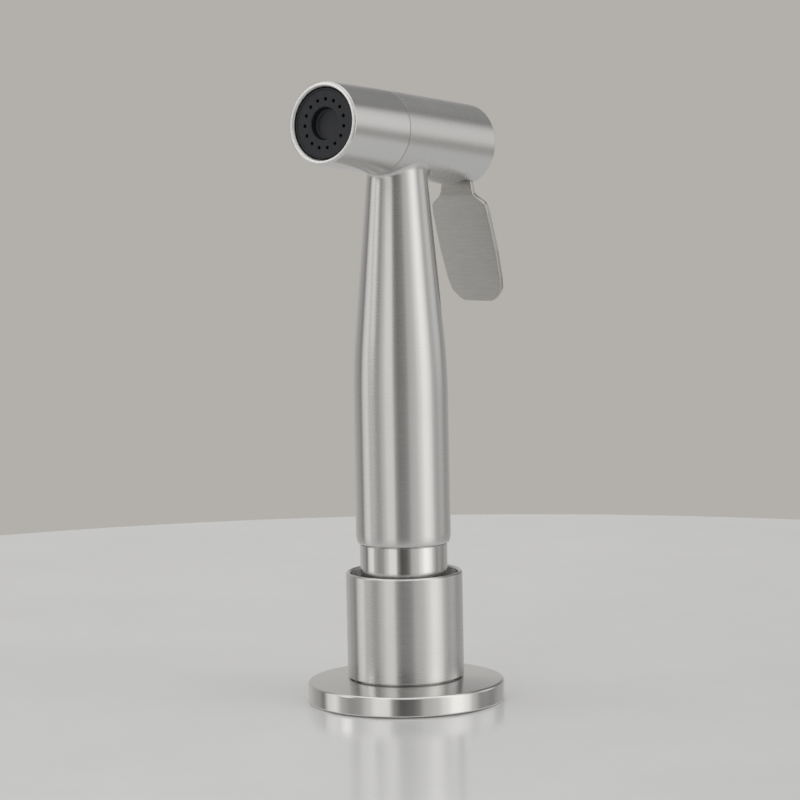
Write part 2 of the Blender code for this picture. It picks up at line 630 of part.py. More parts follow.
def valve_body():
    """The brass cartridge: front thread, seat bore, pressure chamber, gland and the lever's cheeks."""
    half_groove = RING_CORD / 2 + GAP
    groove_radius = BODY_RADIUS - GROOVE_DEPTH
    port_seals = PORT_RADIUS + 3 * GAP + RING_CORD
    cap_groove = HEAD_FRONT - RING_CORD - GAP
    cap_groove_radius = BODY_SPIGOT - GROOVE_DEPTH
    outer = [(BODY_RADIUS, CHEEK_REAR)]
    for middle in (port_seals, -port_seals):
        outer += [
            (BODY_RADIUS, middle + half_groove),
            (groove_radius, middle + half_groove),
            (groove_radius, middle - half_groove),
            (BODY_RADIUS, middle - half_groove),
        ]
    outer += [
        (BODY_RADIUS, HEAD_FRONT + GAP / 2),
        (BODY_SPIGOT, HEAD_FRONT + GAP / 2),
        (BODY_SPIGOT, cap_groove + half_groove),
        (cap_groove_radius, cap_groove + half_groove),
        (cap_groove_radius, cap_groove - half_groove),
        (BODY_SPIGOT, cap_groove - half_groove),
        (BODY_SPIGOT, SPIGOT_FRONT),
    ]
    inner = [
        (SEAT_BORE, SPIGOT_FRONT),
        (SEAT_BORE, SEAT_STEP),
        (CHAMBER_RADIUS, SEAT_STEP),
        (CHAMBER_RADIUS, CHAMBER_REAR),
        (STEM_RADIUS + GAP, CHAMBER_REAR),
        (STEM_RADIUS + GAP, GLAND_FRONT),
        (GLAND_RADIUS, GLAND_FRONT),
        (GLAND_RADIUS, CHEEK_REAR),
    ]
    body = turned("valve_body", outer + inner, LARGE, head, "brass")
    port = rod("body_port", PORT_RADIUS, BODY_RADIUS, head, in_head(0, 0, BODY_RADIUS), (radians(90), 0, 0),
               collection=cutters)
    combine(body, port, "DIFFERENCE")
    slot = block("cheek_slot", (-CHEEK_SLOT, -2 * BODY_RADIUS, GLAND_REAR),
                 (CHEEK_SLOT, 2 * BODY_RADIUS, 2 * CHEEK_REAR), head)
    combine(body, slot, "DIFFERENCE")
    pin_hole = rod("cheek_pin_hole", PIN_RADIUS + PIN_GAP, 4 * BODY_RADIUS, head,
                   in_head(0, PIVOT_BACK, PIVOT_DOWN), (0, radians(90), 0), collection=cutters)
    combine(body, pin_hole, "DIFFERENCE")
    o_ring("body_o_ring_rear", groove_radius + PIN_GAP, HEAD_BORE - PIN_GAP, port_seals, head)
    o_ring("body_o_ring_front", groove_radius + PIN_GAP, HEAD_BORE - PIN_GAP, -port_seals, head)
    o_ring("cap_o_ring", cap_groove_radius + PIN_GAP, NOZZLE_BORE - PIN_GAP, cap_groove, head)


def seat():
    """The valve seat, a ring with a raised lip, and its own O-ring."""
    outer = SEAT_BORE - GAP
    front = SEAT_REAR - SEAT_LENGTH
    middle = SEAT_REAR - SEAT_LENGTH / 2
    half_groove = RING_CORD / 2
    groove_radius = outer - GROOVE_DEPTH
    lip_outer = SEAT_ORIFICE + SEAT_LIP
    profile = [
        (lip_outer, SEAT_REAR + SEAT_LIP),
        (lip_outer + SEAT_LIP, SEAT_REAR),
        (outer, SEAT_REAR),
        (outer, middle + half_groove),
        (groove_radius, middle + half_groove),
        (groove_radius, middle - half_groove),
        (outer, middle - half_groove),
        (outer, front),
        (SEAT_ORIFICE, front),
        (SEAT_ORIFICE, SEAT_REAR + SEAT_LIP),
    ]
    turned("seat_insert", profile, SMALL, head, "white_plastic")
    o_ring("seat_o_ring", groove_radius + PIN_GAP / 2, SEAT_BORE - PIN_GAP / 2, middle, head, SMALL)


def gland():
    """The stem's seal and the nut that holds it."""
    seal_middle = GLAND_FRONT + PIN_GAP + RING_CORD / 2
    seal_inner = STEM_RADIUS + PIN_GAP
    o_ring("stem_o_ring", seal_inner, seal_inner + 0.9 * RING_CORD, seal_middle, head, SMALL)
    nut_front = seal_middle + RING_CORD / 2
    ring("gland_nut", GLAND_RADIUS - GAP, STEM_RADIUS + GAP, nut_front + GLAND_NUT_LENGTH, nut_front,
         SMALL, head, "brass")


def nozzle():
    """The front cap and the stack inside it: spray face, seal, jet plate and spacer."""
    lip_bore = NOZZLE_BORE - NOZZLE_LIP
    lip_rear = NOZZLE_FRONT + NOZZLE_LIP_LENGTH
    rear = HEAD_FRONT - GAP / 2
    edge = arc(NOZZLE_RADIUS - NOZZLE_EDGE, NOZZLE_FRONT + NOZZLE_EDGE, NOZZLE_EDGE, NOZZLE_EDGE, 0, -90)
    profile = [(NOZZLE_RADIUS, rear)] + edge
    profile += [(lip_bore, NOZZLE_FRONT + PIN_GAP), (lip_bore, lip_rear), (NOZZLE_BORE, lip_rear)]
    profile += [(NOZZLE_BORE, rear)]
    turned("nozzle_cap", profile, LARGE, head, "polished_steel")
    ring("face_seal", BODY_SPIGOT, BODY_SPIGOT - GASKET_THICKNESS, FACE_SEAL_FRONT + FACE_SEAL_THICKNESS,
         FACE_SEAL_FRONT, LARGE, head, "rubber")
    ring("spacer_ring", BODY_SPIGOT, BODY_SPIGOT - SPACER_WALL, SPIGOT_FRONT - GAP, SPACER_FRONT,
         SMALL, head, "white_plastic")
    plate_middle = in_head(0, JET_PLATE_FRONT + JET_PLATE_THICKNESS / 2, 0)
    plate = rod("jet_plate", BODY_SPIGOT, JET_PLATE_THICKNESS, head, plate_middle, steps=LARGE,
                surface="white_plastic")
    drill_circle(plate, "plate_hole", PLATE_HOLES, JET_CIRCLE, PLATE_HOLE_RADIUS, JET_PLATE_THICKNESS)


def spray_face():
    """The black front plate: a thin raised rim, fifteen jets and a round hollow in the middle."""
    floor = FACE_FRONT + FACE_RIM_HEIGHT
    back = floor + FACE_THICKNESS
    hollow_back = FACE_FRONT + FACE_CUP_DEPTH + FACE_THICKNESS
    hollow_outer = FACE_CUP_RADIUS + GASKET_THICKNESS / 2
    skirt_inner = BODY_SPIGOT - GASKET_THICKNESS
    profile = [
        (0, hollow_back),
        (hollow_outer, hollow_back),
        (hollow_outer, back),
        (skirt_inner, back),
        (skirt_inner, FACE_REAR),
        (BODY_SPIGOT, FACE_REAR),
        (BODY_SPIGOT, FACE_FLANGE_FRONT),
        (FACE_RADIUS, FACE_FLANGE_FRONT),
        (FACE_RADIUS, FACE_FRONT),
        (FACE_RADIUS - FACE_RIM_WIDTH, FACE_FRONT),
        (FACE_RADIUS - FACE_RIM_WIDTH, floor),
        (FACE_CUP_RADIUS, floor),
        (FACE_CUP_RADIUS - FACE_RIM_HEIGHT, FACE_FRONT + FACE_CUP_DEPTH),
        (0, FACE_FRONT + FACE_CUP_DEPTH),
    ]
    face = turned("spray_face", profile, LARGE, head, "black_plastic", closed=False)
    drill_circle(face, "jet", JET_COUNT, JET_CIRCLE, JET_RADIUS, 2 * FACE_THICKNESS, floor, -pi / 2)


def valve_spring():
    """The spring that closes the valve, between the stem's flange and the chamber's rear wall."""
    start = FLANGE_REAR_U + GAP + SPRING_WIRE
    end = CHAMBER_REAR - GAP - SPRING_WIRE
    points_per_turn = 10
    count = int(SPRING_TURNS * points_per_turn) + 1
    curve = bpy.data.curves.new("valve_spring_wire", "CURVE")
    curve.dimensions = "3D"
    curve.resolution_u = 1
    curve.render_resolution_u = 0
    curve.bevel_depth = SPRING_WIRE
    curve.bevel_resolution = 1
    curve.use_fill_caps = True
    spline = curve.splines.new("POLY")
    spline.points.add(count - 1)
    for i, point in enumerate(spline.points):
        angle = 2 * pi * i / points_per_turn
        along = start + (end - start) * i / (count - 1)
        point.co = (SPRING_RADIUS * cos(angle), SPRING_RADIUS * sin(angle), along, 1)
    wire = curve_to_mesh("valve_spring", curve, head, parts)
    dress(wire, "plain_steel")


# ---------------------------------------------------------------- stem
def valve_stem():
    """The stem with its flange, the rubber washer it carries, and the nuts at both ends."""
    stub_end = DISC_FRONT - NUT_SMALL_LENGTH - GAP
    profile = [
        (0, STEM_REAR),
        (STEM_RADIUS, STEM_REAR),
        (STEM_RADIUS, FLANGE_REAR_U),
        (DISC_RADIUS, FLANGE_REAR_U),
        (DISC_RADIUS, FLANGE_FRONT_U),
        (STUB_RADIUS, FLANGE_FRONT_U),
        (STUB_RADIUS, stub_end),
        (0, stub_end),
    ]
    turned("valve_stem", profile, SMALL, stem, "plain_steel", closed=False)
    ring("valve_washer", DISC_RADIUS, STUB_RADIUS + PIN_GAP, DISC_REAR, DISC_FRONT, SMALL, stem, "rubber")
    ring("washer_nut", NUT_SMALL_RADIUS, STUB_RADIUS + PIN_GAP, DISC_FRONT - GAP, stub_end, SMALL, stem, "brass")
    nut_middle = in_head(0, (STEM_NUT_FRONT + STEM_NUT_REAR) / 2, 0)
    nut = rod("stem_nut", STEM_NUT_RADIUS, STEM_NUT_LENGTH, stem, nut_middle, steps=6, surface="brass")
    bore = rod("stem_nut_bore", STEM_RADIUS + PIN_GAP, 3 * STEM_NUT_LENGTH, stem, nut_middle, collection=cutters)
    combine(nut, bore, "DIFFERENCE")


# ---------------------------------------------------------------- lever
def lever_side():
    """The lever's bent plate seen from the side, as (back, up) from the pin."""
    tilt = radians(HEAD_TILT)
    blade = radians(BLADE_ANGLE)
    slope = tan(tilt)
    web_under = LEVER_THICKNESS - WEB_RISE
    neck_rear = NECK_FRONT + LEVER_THICKNESS
    tip_front = (NECK_FRONT + BLADE_LENGTH * sin(blade), NECK_BEND - BLADE_LENGTH * cos(blade))
    tip_rear = (tip_front[0] + LEVER_THICKNESS * cos(blade), tip_front[1] + LEVER_THICKNESS * sin(blade))
    bend_rear = NECK_BEND + LEVER_THICKNESS * tan(blade / 2)
    return [
        (0, WEB_RISE),
        (0, -web_under),
        (NECK_FRONT, -web_under - NECK_FRONT * slope),
        (NECK_FRONT, NECK_BEND),
        tip_front,
        tip_rear,
        (neck_rear, bend_rear),
        (neck_rear, WEB_RISE - neck_rear * slope),
    ]


def lever_front():
    """Half of the lever's outline seen from the front, as (side, up) from the pin, downwards."""
    drop = cos(radians(BLADE_ANGLE))
    return [
        (NECK_HALF_WIDTH, 2 * FORK_RISE),
        (NECK_HALF_WIDTH, NECK_BEND + 3.0 * MM),
        (BEND_HALF_WIDTH, NECK_BEND),
        (SHOULDER_HALF_WIDTH, NECK_BEND - 2.3 * MM * drop),
        (BLADE_HALF_WIDTH - 0.15 * MM, NECK_BEND - 5.4 * MM * drop),
        (BLADE_HALF_WIDTH, NECK_BEND - 16.4 * MM * drop),
        (BLADE_HALF_WIDTH - 0.45 * MM, NECK_BEND - 24.7 * MM * drop),
        (TIP_HALF_WIDTH + 3.9 * MM, NECK_BEND - 28.9 * MM * drop),
        (TIP_HALF_WIDTH + 1.9 * MM, NECK_BEND - 30.8 * MM * drop),
        (TIP_HALF_WIDTH, NECK_BEND - 31.7 * MM * drop),
        (TIP_HALF_WIDTH, NECK_BEND - 2 * BLADE_LENGTH),
    ]


def lever():
    """The trigger: a bent plate below the head, with a hub on the pin and a fork behind it."""
    side = outlined("trigger_lever", lever_side(), 4 * BLADE_HALF_WIDTH, pivot, parts)
    side.matrix_local = Matrix(((0, 0, 1, 0), (1, 0, 0, 0), (0, 1, 0, 0), (0, 0, 0, 1)))
    dress(side, "lever_steel")
    half = lever_front()
    outline = half + [(-x, y) for x, y in half[::-1]]
    front = outlined("lever_outline", outline, 8 * BLADE_LENGTH, pivot)
    front.rotation_euler = (radians(90), 0, 0)
    combine(side, front, "INTERSECT")
    hub = rod("lever_hub", HUB_RADIUS, HUB_WIDTH, pivot, (0, 0, 0), (0, radians(90), 0), collection=cutters)
    combine(side, hub, "UNION")
    for hand, way in (("left", -1), ("right", 1)):
        inner, outer = sorted((way * FORK_INNER, way * FORK_OUTER))
        arm = block("fork_" + hand, (inner, -FORK_FRONT, 0), (outer, FORK_REAR, FORK_RISE), pivot)
        arm.rotation_euler = (radians(-HEAD_TILT), 0, 0)
        combine(side, arm, "UNION")
    bore = rod("lever_bore", PIN_RADIUS + PIN_GAP, 2 * HUB_WIDTH, pivot, (0, 0, 0), (0, radians(90), 0),
               collection=cutters)
    combine(side, bore, "DIFFERENCE")
    rod("lever_pin", PIN_RADIUS, PIN_LENGTH, head, in_head(0, PIVOT_BACK, PIVOT_DOWN), (0, radians(90), 0),
        surface="plain_steel")


def finish():
    """Apply each piece's modifiers and shade it smooth between its sharp edges."""
    graph = bpy.context.evaluated_depsgraph_get()
    pieces = [made for made in parts.objects if made.type == "MESH"]
    meshes = [bpy.data.meshes.new_from_object(made.evaluated_get(graph)) for made in pieces]
    for made, mesh in zip(pieces, meshes):
        made.modifiers.clear()
        made.data = mesh
        mesh.shade_smooth()
        mesh.set_sharp_from_angle(angle=radians(32))


flange()
cup()
shank_and_nut()
guide_bush()
handle()
sleeve_and_inlet()
head_shell()
rear_plug()
valve_body()
seat()
gland()
nozzle()
spray_face()
valve_spring()
valve_stem()
lever()
finish()
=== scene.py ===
"""The looks of a kitchen side spray in its deck holder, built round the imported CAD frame.

Turned pieces are drawn again as fine profiles with rounded edges. Most radii and heights are measured on
the CAD nodes, and the rest stand beside their piece. Two frames are used: the holder's, with Z up the
handle, and the head's, with Z backwards along the head's axis and Y down.
"""

import json
from functools import cache
from math import acos, atan2, ceil, cos, degrees, dist, hypot, pi, radians, sin, sqrt, tan
from types import SimpleNamespace

import bmesh
import bpy
from mathutils import Matrix, Vector

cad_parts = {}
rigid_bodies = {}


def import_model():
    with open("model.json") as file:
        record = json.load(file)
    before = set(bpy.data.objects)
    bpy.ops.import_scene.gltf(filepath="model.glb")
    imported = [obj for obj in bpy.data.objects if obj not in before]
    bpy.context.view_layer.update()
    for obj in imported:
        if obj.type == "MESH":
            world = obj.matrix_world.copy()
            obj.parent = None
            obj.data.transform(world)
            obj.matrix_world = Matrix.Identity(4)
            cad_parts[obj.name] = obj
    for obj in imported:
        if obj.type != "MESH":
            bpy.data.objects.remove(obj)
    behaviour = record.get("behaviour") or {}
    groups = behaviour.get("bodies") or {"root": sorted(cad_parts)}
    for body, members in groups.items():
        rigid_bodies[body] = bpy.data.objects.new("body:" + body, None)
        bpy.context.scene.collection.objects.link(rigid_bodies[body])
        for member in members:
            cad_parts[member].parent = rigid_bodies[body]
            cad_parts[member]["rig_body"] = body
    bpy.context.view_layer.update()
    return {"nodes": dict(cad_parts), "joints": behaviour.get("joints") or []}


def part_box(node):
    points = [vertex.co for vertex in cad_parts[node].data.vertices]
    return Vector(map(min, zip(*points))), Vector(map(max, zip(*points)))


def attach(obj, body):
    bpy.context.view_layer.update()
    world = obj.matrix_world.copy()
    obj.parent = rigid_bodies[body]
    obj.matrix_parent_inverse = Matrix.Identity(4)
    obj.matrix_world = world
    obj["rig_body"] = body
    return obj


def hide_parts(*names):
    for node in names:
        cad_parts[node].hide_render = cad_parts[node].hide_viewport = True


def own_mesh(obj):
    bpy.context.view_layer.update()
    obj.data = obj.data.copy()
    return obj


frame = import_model()

MM = 0.001
NODES = frame["nodes"]
JOINTS = {joint["name"]: joint for joint in frame["joints"]}

# ------------ fineness and common sizes
FINE = 192  # steps round a large piece
MEDIUM = 96
SMALL = 48
JET_STEPS = 24  # steps round a small drilled hole
ARC_STEP = 15.0  # degrees of a rounded corner per step
SIDE_SHARE = 0.48  # share of a side that one corner's arc may take
SHARP_ANGLE = 35.0  # degrees from which an edge stays sharp
EDGE = 0.12 * MM  # a broken edge
CLEARANCE = 0.3 * MM  # room between neighbours, as in the CAD


# ------------ frames
def head_matrix():
    """The head's frame, with its origin where the head's axis crosses the handle's."""
    back = Vector(JOINTS["valve_pull"]["axis"]).normalized()
    low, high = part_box("nozzle_cap")
    middle = (low + high) / 2
    origin = middle - back * (middle.y / back.y)
    side = Vector((1, 0, 0))
    down = back.cross(side)
    matrix = Matrix((side, down, back)).transposed().to_4x4()
    matrix.translation = origin
    return matrix


UPRIGHT = Matrix.Identity(4)
HEAD = head_matrix()
BODY_OF = {node: o["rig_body"] for node, o in NODES.items()}


@cache
def size_of(node, in_head=False):
    """Radii and heights of a turned CAD node, measured in the frame it is turned in."""
    inverse = (HEAD if in_head else UPRIGHT).inverted()
    points = [inverse @ v.co for v in NODES[node].data.vertices]
    radii = [hypot(p.x, p.y) for p in points]
    low = min(p.z for p in points)
    high = max(p.z for p in points)
    return SimpleNamespace(outer=max(radii), inner=min(radii), low=low, high=high, middle=(low + high) / 2)


# ------------ mesh helpers
def unit(a, b):
    """Direction from a to b in a profile, and the distance."""
    length = dist(a, b)
    return ((b[0] - a[0]) / length, (b[1] - a[1]) / length), length


def rounded(corners, closed=True):
    """Profile points (r, z) from corners (r, z[, radius]), with an arc at each corner that has a radius."""
    count = len(corners)
    made = []
    for i, corner in enumerate(corners):
        place = corner[:2]
        radius = corner[2] if len(corner) > 2 else 0
        if radius == 0 or (not closed and i in (0, count - 1)):
            made.append(place)
            continue
        back, length_back = unit(place, corners[i - 1][:2])
        ahead, length_ahead = unit(place, corners[(i + 1) % count][:2])
        opening = acos(max(-1.0, min(1.0, back[0] * ahead[0] + back[1] * ahead[1])))
        tangent = min(radius / tan(opening / 2), SIDE_SHARE * length_back, SIDE_SHARE * length_ahead)
        radius = tangent * tan(opening / 2)
        middle = (back[0] + ahead[0], back[1] + ahead[1])
        reach = radius / sin(opening / 2) / hypot(*middle)
        centre = (place[0] + middle[0] * reach, place[1] + middle[1] * reach)
        first = (place[0] + back[0] * tangent - centre[0], place[1] + back[1] * tangent - centre[1])
        last = (place[0] + ahead[0] * tangent - centre[0], place[1] + ahead[1] * tangent - centre[1])
        turn = atan2(first[0] * last[1] - first[1] * last[0], first[0] * last[0] + first[1] * last[1])
        steps = max(2, ceil(abs(degrees(turn)) / ARC_STEP))
        for k in range(steps + 1):
            angle = turn * k / steps
            made.append((centre[0] + first[0] * cos(angle) - first[1] * sin(angle),
                         centre[1] + first[0] * sin(angle) + first[1] * cos(angle)))
    return made


def add_object(name, bm, matrix):
    """Make an object of a mesh in the given frame, with its normals outward."""
    bmesh.ops.recalc_face_normals(bm, faces=bm.faces)
    mesh = bpy.data.meshes.new(name)
    bm.to_mesh(mesh)
    bm.free()
    piece = bpy.data.objects.new(name, mesh)
    bpy.context.scene.collection.objects.link(piece)
    piece.matrix_world = matrix
    shade(piece)
    return piece


def shade(piece):
    """Smooth shading that keeps sharp edges and leaves large faces flat."""
    piece.data.shade_smooth()
    piece.data.set_sharp_from_angle(angle=radians(SHARP_ANGLE))
    even = piece.modifiers.new("even_normals", "WEIGHTED_NORMAL")
    even.keep_sharp = True
    even.weight = 100


def skin(name, rows, matrix, closed=True):
    """A surface over rows of points, each row a full turn; a one-point row is a pole."""
    bm = bmesh.new()
    made = [[bm.verts.new(p) for p in row] for row in rows]
    pairs = list(zip(made, made[1:]))
    if closed:
        pairs.append((made[-1], made[0]))
    for low, high in pairs:
        count = max(len(low), len(high))
        if len(low) == len(high) == 1:
            continue
        for i in range(count):
            j = (i + 1) % count
            if len(low) == 1:
                bm.faces.new((low[0], high[j], high[i]))
            elif len(high) == 1:
                bm.faces.new((low[i], low[j], high[0]))
            else:
                bm.faces.new((low[i], low[j], high[j], high[i]))
    return add_object(name, bm, matrix)


def capped(rows):
    """Rows of a bar with a pole in the middle of each end."""
    first = sum(rows[0], Vector()) / len(rows[0])
    last = sum(rows[-1], Vector()) / len(rows[-1])
    return [[first]] + rows + [[last]]


def bar(radius, low, high, edge=0.0):
    """The profile of a solid round bar, from the axis at its high end to the axis at its low end."""
    return [(0, high), (radius, high, edge), (radius, low, edge), (0, low)]


def turned(name, corners, matrix=UPRIGHT, steps=FINE, closed=True):
    """A piece turned from a profile; an open profile starts and ends on the axis."""
    rows = []
    for r, z in rounded(corners, closed):
        if r < 1e-7:
            rows.append([(0, 0, z)])
        else:
            angles = [2 * pi * i / steps for i in range(steps)]
            rows.append([(r * cos(a), r * sin(a), z) for a in angles])
    return skin(name, rows, matrix, closed)


def box_mesh(name, low, high, matrix, bevel=0.0):
    """A box with rounded edges, used as a cutter or an arm."""
    bm = bmesh.new()
    bmesh.ops.create_cube(bm, size=1)
    low = Vector(low)
    high = Vector(high)
    bmesh.ops.scale(bm, vec=high - low, verts=bm.verts)
    bmesh.ops.translate(bm, vec=(high + low) / 2, verts=bm.verts)
    if bevel:
        bmesh.ops.bevel(bm, geom=bm.edges, offset=bevel, segments=4, profile=0.5, affect="EDGES")
    return add_object(name, bm, matrix)


def hexagon(bm, radius, height):
    """A hexagonal bar round the origin, as wide as radius over its corners."""
    bmesh.ops.create_cone(bm, cap_ends=True, segments=6, radius1=radius, radius2=radius, depth=height)


def combine(piece, tool, operation):
    """Cut or join a piece with a tool, apply it and remove the tool."""
    piece.modifiers.clear()
    boolean = piece.modifiers.new("cut", "BOOLEAN")
    boolean.operation = operation
    boolean.object = tool
    tool.modifiers.clear()
    graph = bpy.context.evaluated_depsgraph_get()
    mesh = bpy.data.meshes.new_from_object(piece.evaluated_get(graph))
    piece.modifiers.clear()
    piece.data = mesh
    bpy.data.objects.remove(tool)
    shade(piece)


# ------------ materials
QUARTER_TURN = 0.25
SLOW_MARKS = 14.0  # how fast turning marks change round the piece, per metre


class Tree:
    """The node tree of a material or of the world, with short ways to add and join nodes."""

    def __init__(self, owner):
        owner.use_nodes = True
        self.owner = owner
        self.nodes = owner.node_tree.nodes
        self.links = owner.node_tree.links
        self.shader = self.nodes.get("Principled BSDF") or self.nodes["Background"]

    def node(self, kind, **settings):
        """A new node with its settings."""
        made = self.nodes.new(kind)
        for key, value in settings.items():
            setattr(made, key, value)
        return made

    def join(self, output, node, name):
        """Link an output to a node's named input."""
        self.links.new(output, node.inputs[name])

    def noise(self, vector, scale, detail=4.0, roughness=0.6):
        """A cloudy pattern over the vector's space."""
        made = self.node("ShaderNodeTexNoise")
        made.inputs["Scale"].default_value = scale
        made.inputs["Detail"].default_value = detail
        made.inputs["Roughness"].default_value = roughness
        self.join(vector, made, "Vector")
        return made.outputs["Fac"]

    def remap(self, value, start, end, low=0.0, high=1.0, **settings):
        """A value from start..end brought to low..high."""
        made = self.node("ShaderNodeMapRange", **settings)
        for name, number in (("From Min", start), ("From Max", end), ("To Min", low), ("To Max", high)):
            made.inputs[name].default_value = number
        self.join(value, made, "Value")
        return made.outputs["Result"]

    def step(self, value, start, end):
        """0 up to start and 1 from end, smooth between."""
        return self.remap(value, start, end, interpolation_type="SMOOTHSTEP")

    def spread(self, value, low, high):
        """The middle range of a noise brought to low..high."""
        return self.remap(value, 0.3, 0.7, low, high)

    def math(self, operation, first, second):
        """An operation on two values, each a socket or a number."""
        made = self.node("ShaderNodeMath", operation=operation)
        for value, socket in zip((first, second), made.inputs):
            if isinstance(value, float):
                socket.default_value = value
            else:
                self.links.new(value, socket)
        return made.outputs[0]

    def mix(self, factor, first, second):
        """A blend from one colour to another, each a socket or three numbers."""
        made = self.node("ShaderNodeMix", data_type="RGBA")
        self.join(factor, made, "Factor")
        for colour, socket in zip((first, second), [i for i in made.inputs if i.type == "RGBA"]):
            if isinstance(colour, tuple):
                socket.default_value = (*colour, 1)
            else:
                self.links.new(colour, socket)
        return [o for o in made.outputs if o.type == "RGBA"][0]

    def colour(self, pattern, colour, contrast):
        """A base colour that varies with a pattern, up and down by the share contrast."""
        dark = tuple(c * (1 - contrast) for c in colour)
        light = tuple(c * (1 + contrast) for c in colour)
        self.join(self.mix(self.spread(pattern, 0.0, 1.0), dark, light), self.shader, "Base Color")

    def rough(self, roughness, fine, fine_change, cloud, cloud_change):
        """A roughness that varies with a fine pattern and a cloudy one."""
        near = self.spread(fine, roughness - fine_change, roughness + fine_change)
        broad = self.spread(cloud, -cloud_change, cloud_change)
        self.join(self.math("ADD", near, broad), self.shader, "Roughness")

    def bump(self, height, strength, distance):
        """A surface relief that follows a pattern."""
        made = self.node("ShaderNodeBump")
        made.inputs["Strength"].default_value = strength
        made.inputs["Distance"].default_value = distance
        self.join(height, made, "Height")
        self.join(made.outputs["Normal"], self.shader, "Normal")

    def object_point(self):
        """The point in the piece's own frame."""
        return self.node("ShaderNodeTexCoord").outputs["Object"]

    def stretched(self, scale):
        """Object coordinates stretched along some axes."""
        mapping = self.node("ShaderNodeMapping")
        mapping.inputs["Scale"].default_value = scale
        self.join(self.object_point(), mapping, "Vector")
        return mapping.outputs["Vector"]

    def lathe_lines(self, fine, slow):
        """Coordinates that change quickly across the turning marks and slowly along them."""
        point = self.node("ShaderNodeSeparateXYZ")
        self.join(self.object_point(), point, "Vector")
        x, y, z = point.outputs
        flat = self.node("ShaderNodeCombineXYZ")
        self.join(x, flat, "X")
        self.join(y, flat, "Y")
        radius = self.node("ShaderNodeVectorMath", operation="LENGTH")
        self.links.new(flat.outputs[0], radius.inputs[0])
        across = self.math("ADD", radius.outputs["Value"], z)
        made = self.node("ShaderNodeCombineXYZ")
        self.join(self.math("MULTIPLY", x, slow), made, "X")
        self.join(self.math("MULTIPLY", y, slow), made, "Y")
        self.join(self.math("MULTIPLY", across, fine), made, "Z")
        return made.outputs[0]

    def brushed(self, axis, anisotropic):
        """Reflections stretched across marks that run round an axis."""
        made = self.node("ShaderNodeTangent", direction_type="RADIAL", axis=axis)
        self.join(made.outputs["Tangent"], self.shader, "Tangent")
        self.shader.inputs["Metallic"].default_value = 1.0
        self.shader.inputs["Anisotropic"].default_value = anisotropic
        self.shader.inputs["Anisotropic Rotation"].default_value = QUARTER_TURN


def turned_metal(name, colour, roughness, anisotropic, contrast=0.018, bump=0.012):
    """Metal with fine marks from turning or brushing round its axis, slightly uneven in sheen."""
    tree = Tree(bpy.data.materials.new(name))
    lines = tree.lathe_lines(3600.0, SLOW_MARKS)
    fine = tree.noise(lines, 1.0, detail=5.0, roughness=0.65)
    cloud = tree.noise(tree.object_point(), 60.0, detail=3.0)
    tree.colour(fine, colour, contrast)
    tree.rough(roughness, fine, 0.014, cloud, 0.01)
    tree.bump(fine, bump, 0.02 * MM)
    tree.brushed("Z", anisotropic)
    return tree.owner


def plate_metal(name, colour, roughness, anisotropic):
    """Sheet metal brushed across its width."""
    tree = Tree(bpy.data.materials.new(name))
    fine = tree.noise(tree.stretched((240.0, 2600.0, 2600.0)), 1.0, detail=5.0, roughness=0.65)
    cloud = tree.noise(tree.object_point(), 80.0, detail=3.0)
    tree.colour(fine, colour, 0.1)
    tree.rough(roughness, fine, 0.04, cloud, 0.02)
    tree.bump(fine, 0.05, 0.02 * MM)
    tree.brushed("X", anisotropic)
    return tree.owner


def moulded(name, colour, roughness, bump=0.12, sheen=0.0):
    """Moulded plastic or rubber with a fine grain and faint cloudiness."""
    tree = Tree(bpy.data.materials.new(name))
    fine = tree.noise(tree.object_point(), 2500.0, detail=3.0)
    cloud = tree.noise(tree.object_point(), 120.0)
    tree.colour(cloud, colour, 0.14)
    tree.rough(roughness, fine, 0.05, cloud, 0.03)
    tree.shader.inputs["Sheen Weight"].default_value = sheen
    tree.bump(fine, bump, 0.03 * MM)
    return tree.owner


# colour, roughness and stretch of the reflections, then contrast and relief where they aren't the usual ones
METALS = {
    "brushed_steel": ((0.69, 0.685, 0.672), 0.27, 0.95),
    "polished_steel": ((0.73, 0.724, 0.71), 0.15, 0.7, 0.015, 0.01),
    "satin_steel": ((0.71, 0.705, 0.692), 0.24, 0.95, 0.018, 0.01),
    "plain_steel": ((0.58, 0.58, 0.59), 0.32, 0.3),
    "brass": ((0.80, 0.60, 0.30), 0.26, 0.4),
}
SURFACES = {name: turned_metal(name, *look) for name, look in METALS.items()}
SURFACES |= {
    "lever_steel": plate_metal("lever_steel", (0.53, 0.518, 0.492), 0.34, 0.5),
    "black_plastic": moulded("black_plastic", (0.007, 0.0085, 0.0125), 0.42),
    "grey_plastic": moulded("grey_plastic", (0.20, 0.20, 0.20), 0.5),
    "white_plastic": moulded("white_plastic", (0.78, 0.77, 0.74), 0.42),
    "rubber": moulded("rubber", (0.02, 0.02, 0.021), 0.7, bump=0.25, sheen=0.2),
}
NODES_IN = {
    "polished_steel": ("flange", "bottom_sleeve", "nozzle_cap"),
    "brushed_steel": ("holder_cup", "handle_tube", "head_shell", "rear_plug"),
    "lever_steel": ("trigger_lever",),
    "brass": (
        "threaded_shank", "lock_nut", "hose_nipple", "valve_body", "gland_nut", "washer_nut", "stem_nut",
    ),
    "plain_steel": ("retaining_ring", "steel_washer", "valve_spring", "lever_pin", "valve_stem"),
    "grey_plastic": ("guide_bush",),
    "black_plastic": ("spray_face",),
    "white_plastic": ("inlet_filter", "seat_insert", "spacer_ring", "jet_plate"),
}
SLOT_OF = {node: slot for slot, nodes in NODES_IN.items() for node in nodes}  # all the others are rubber


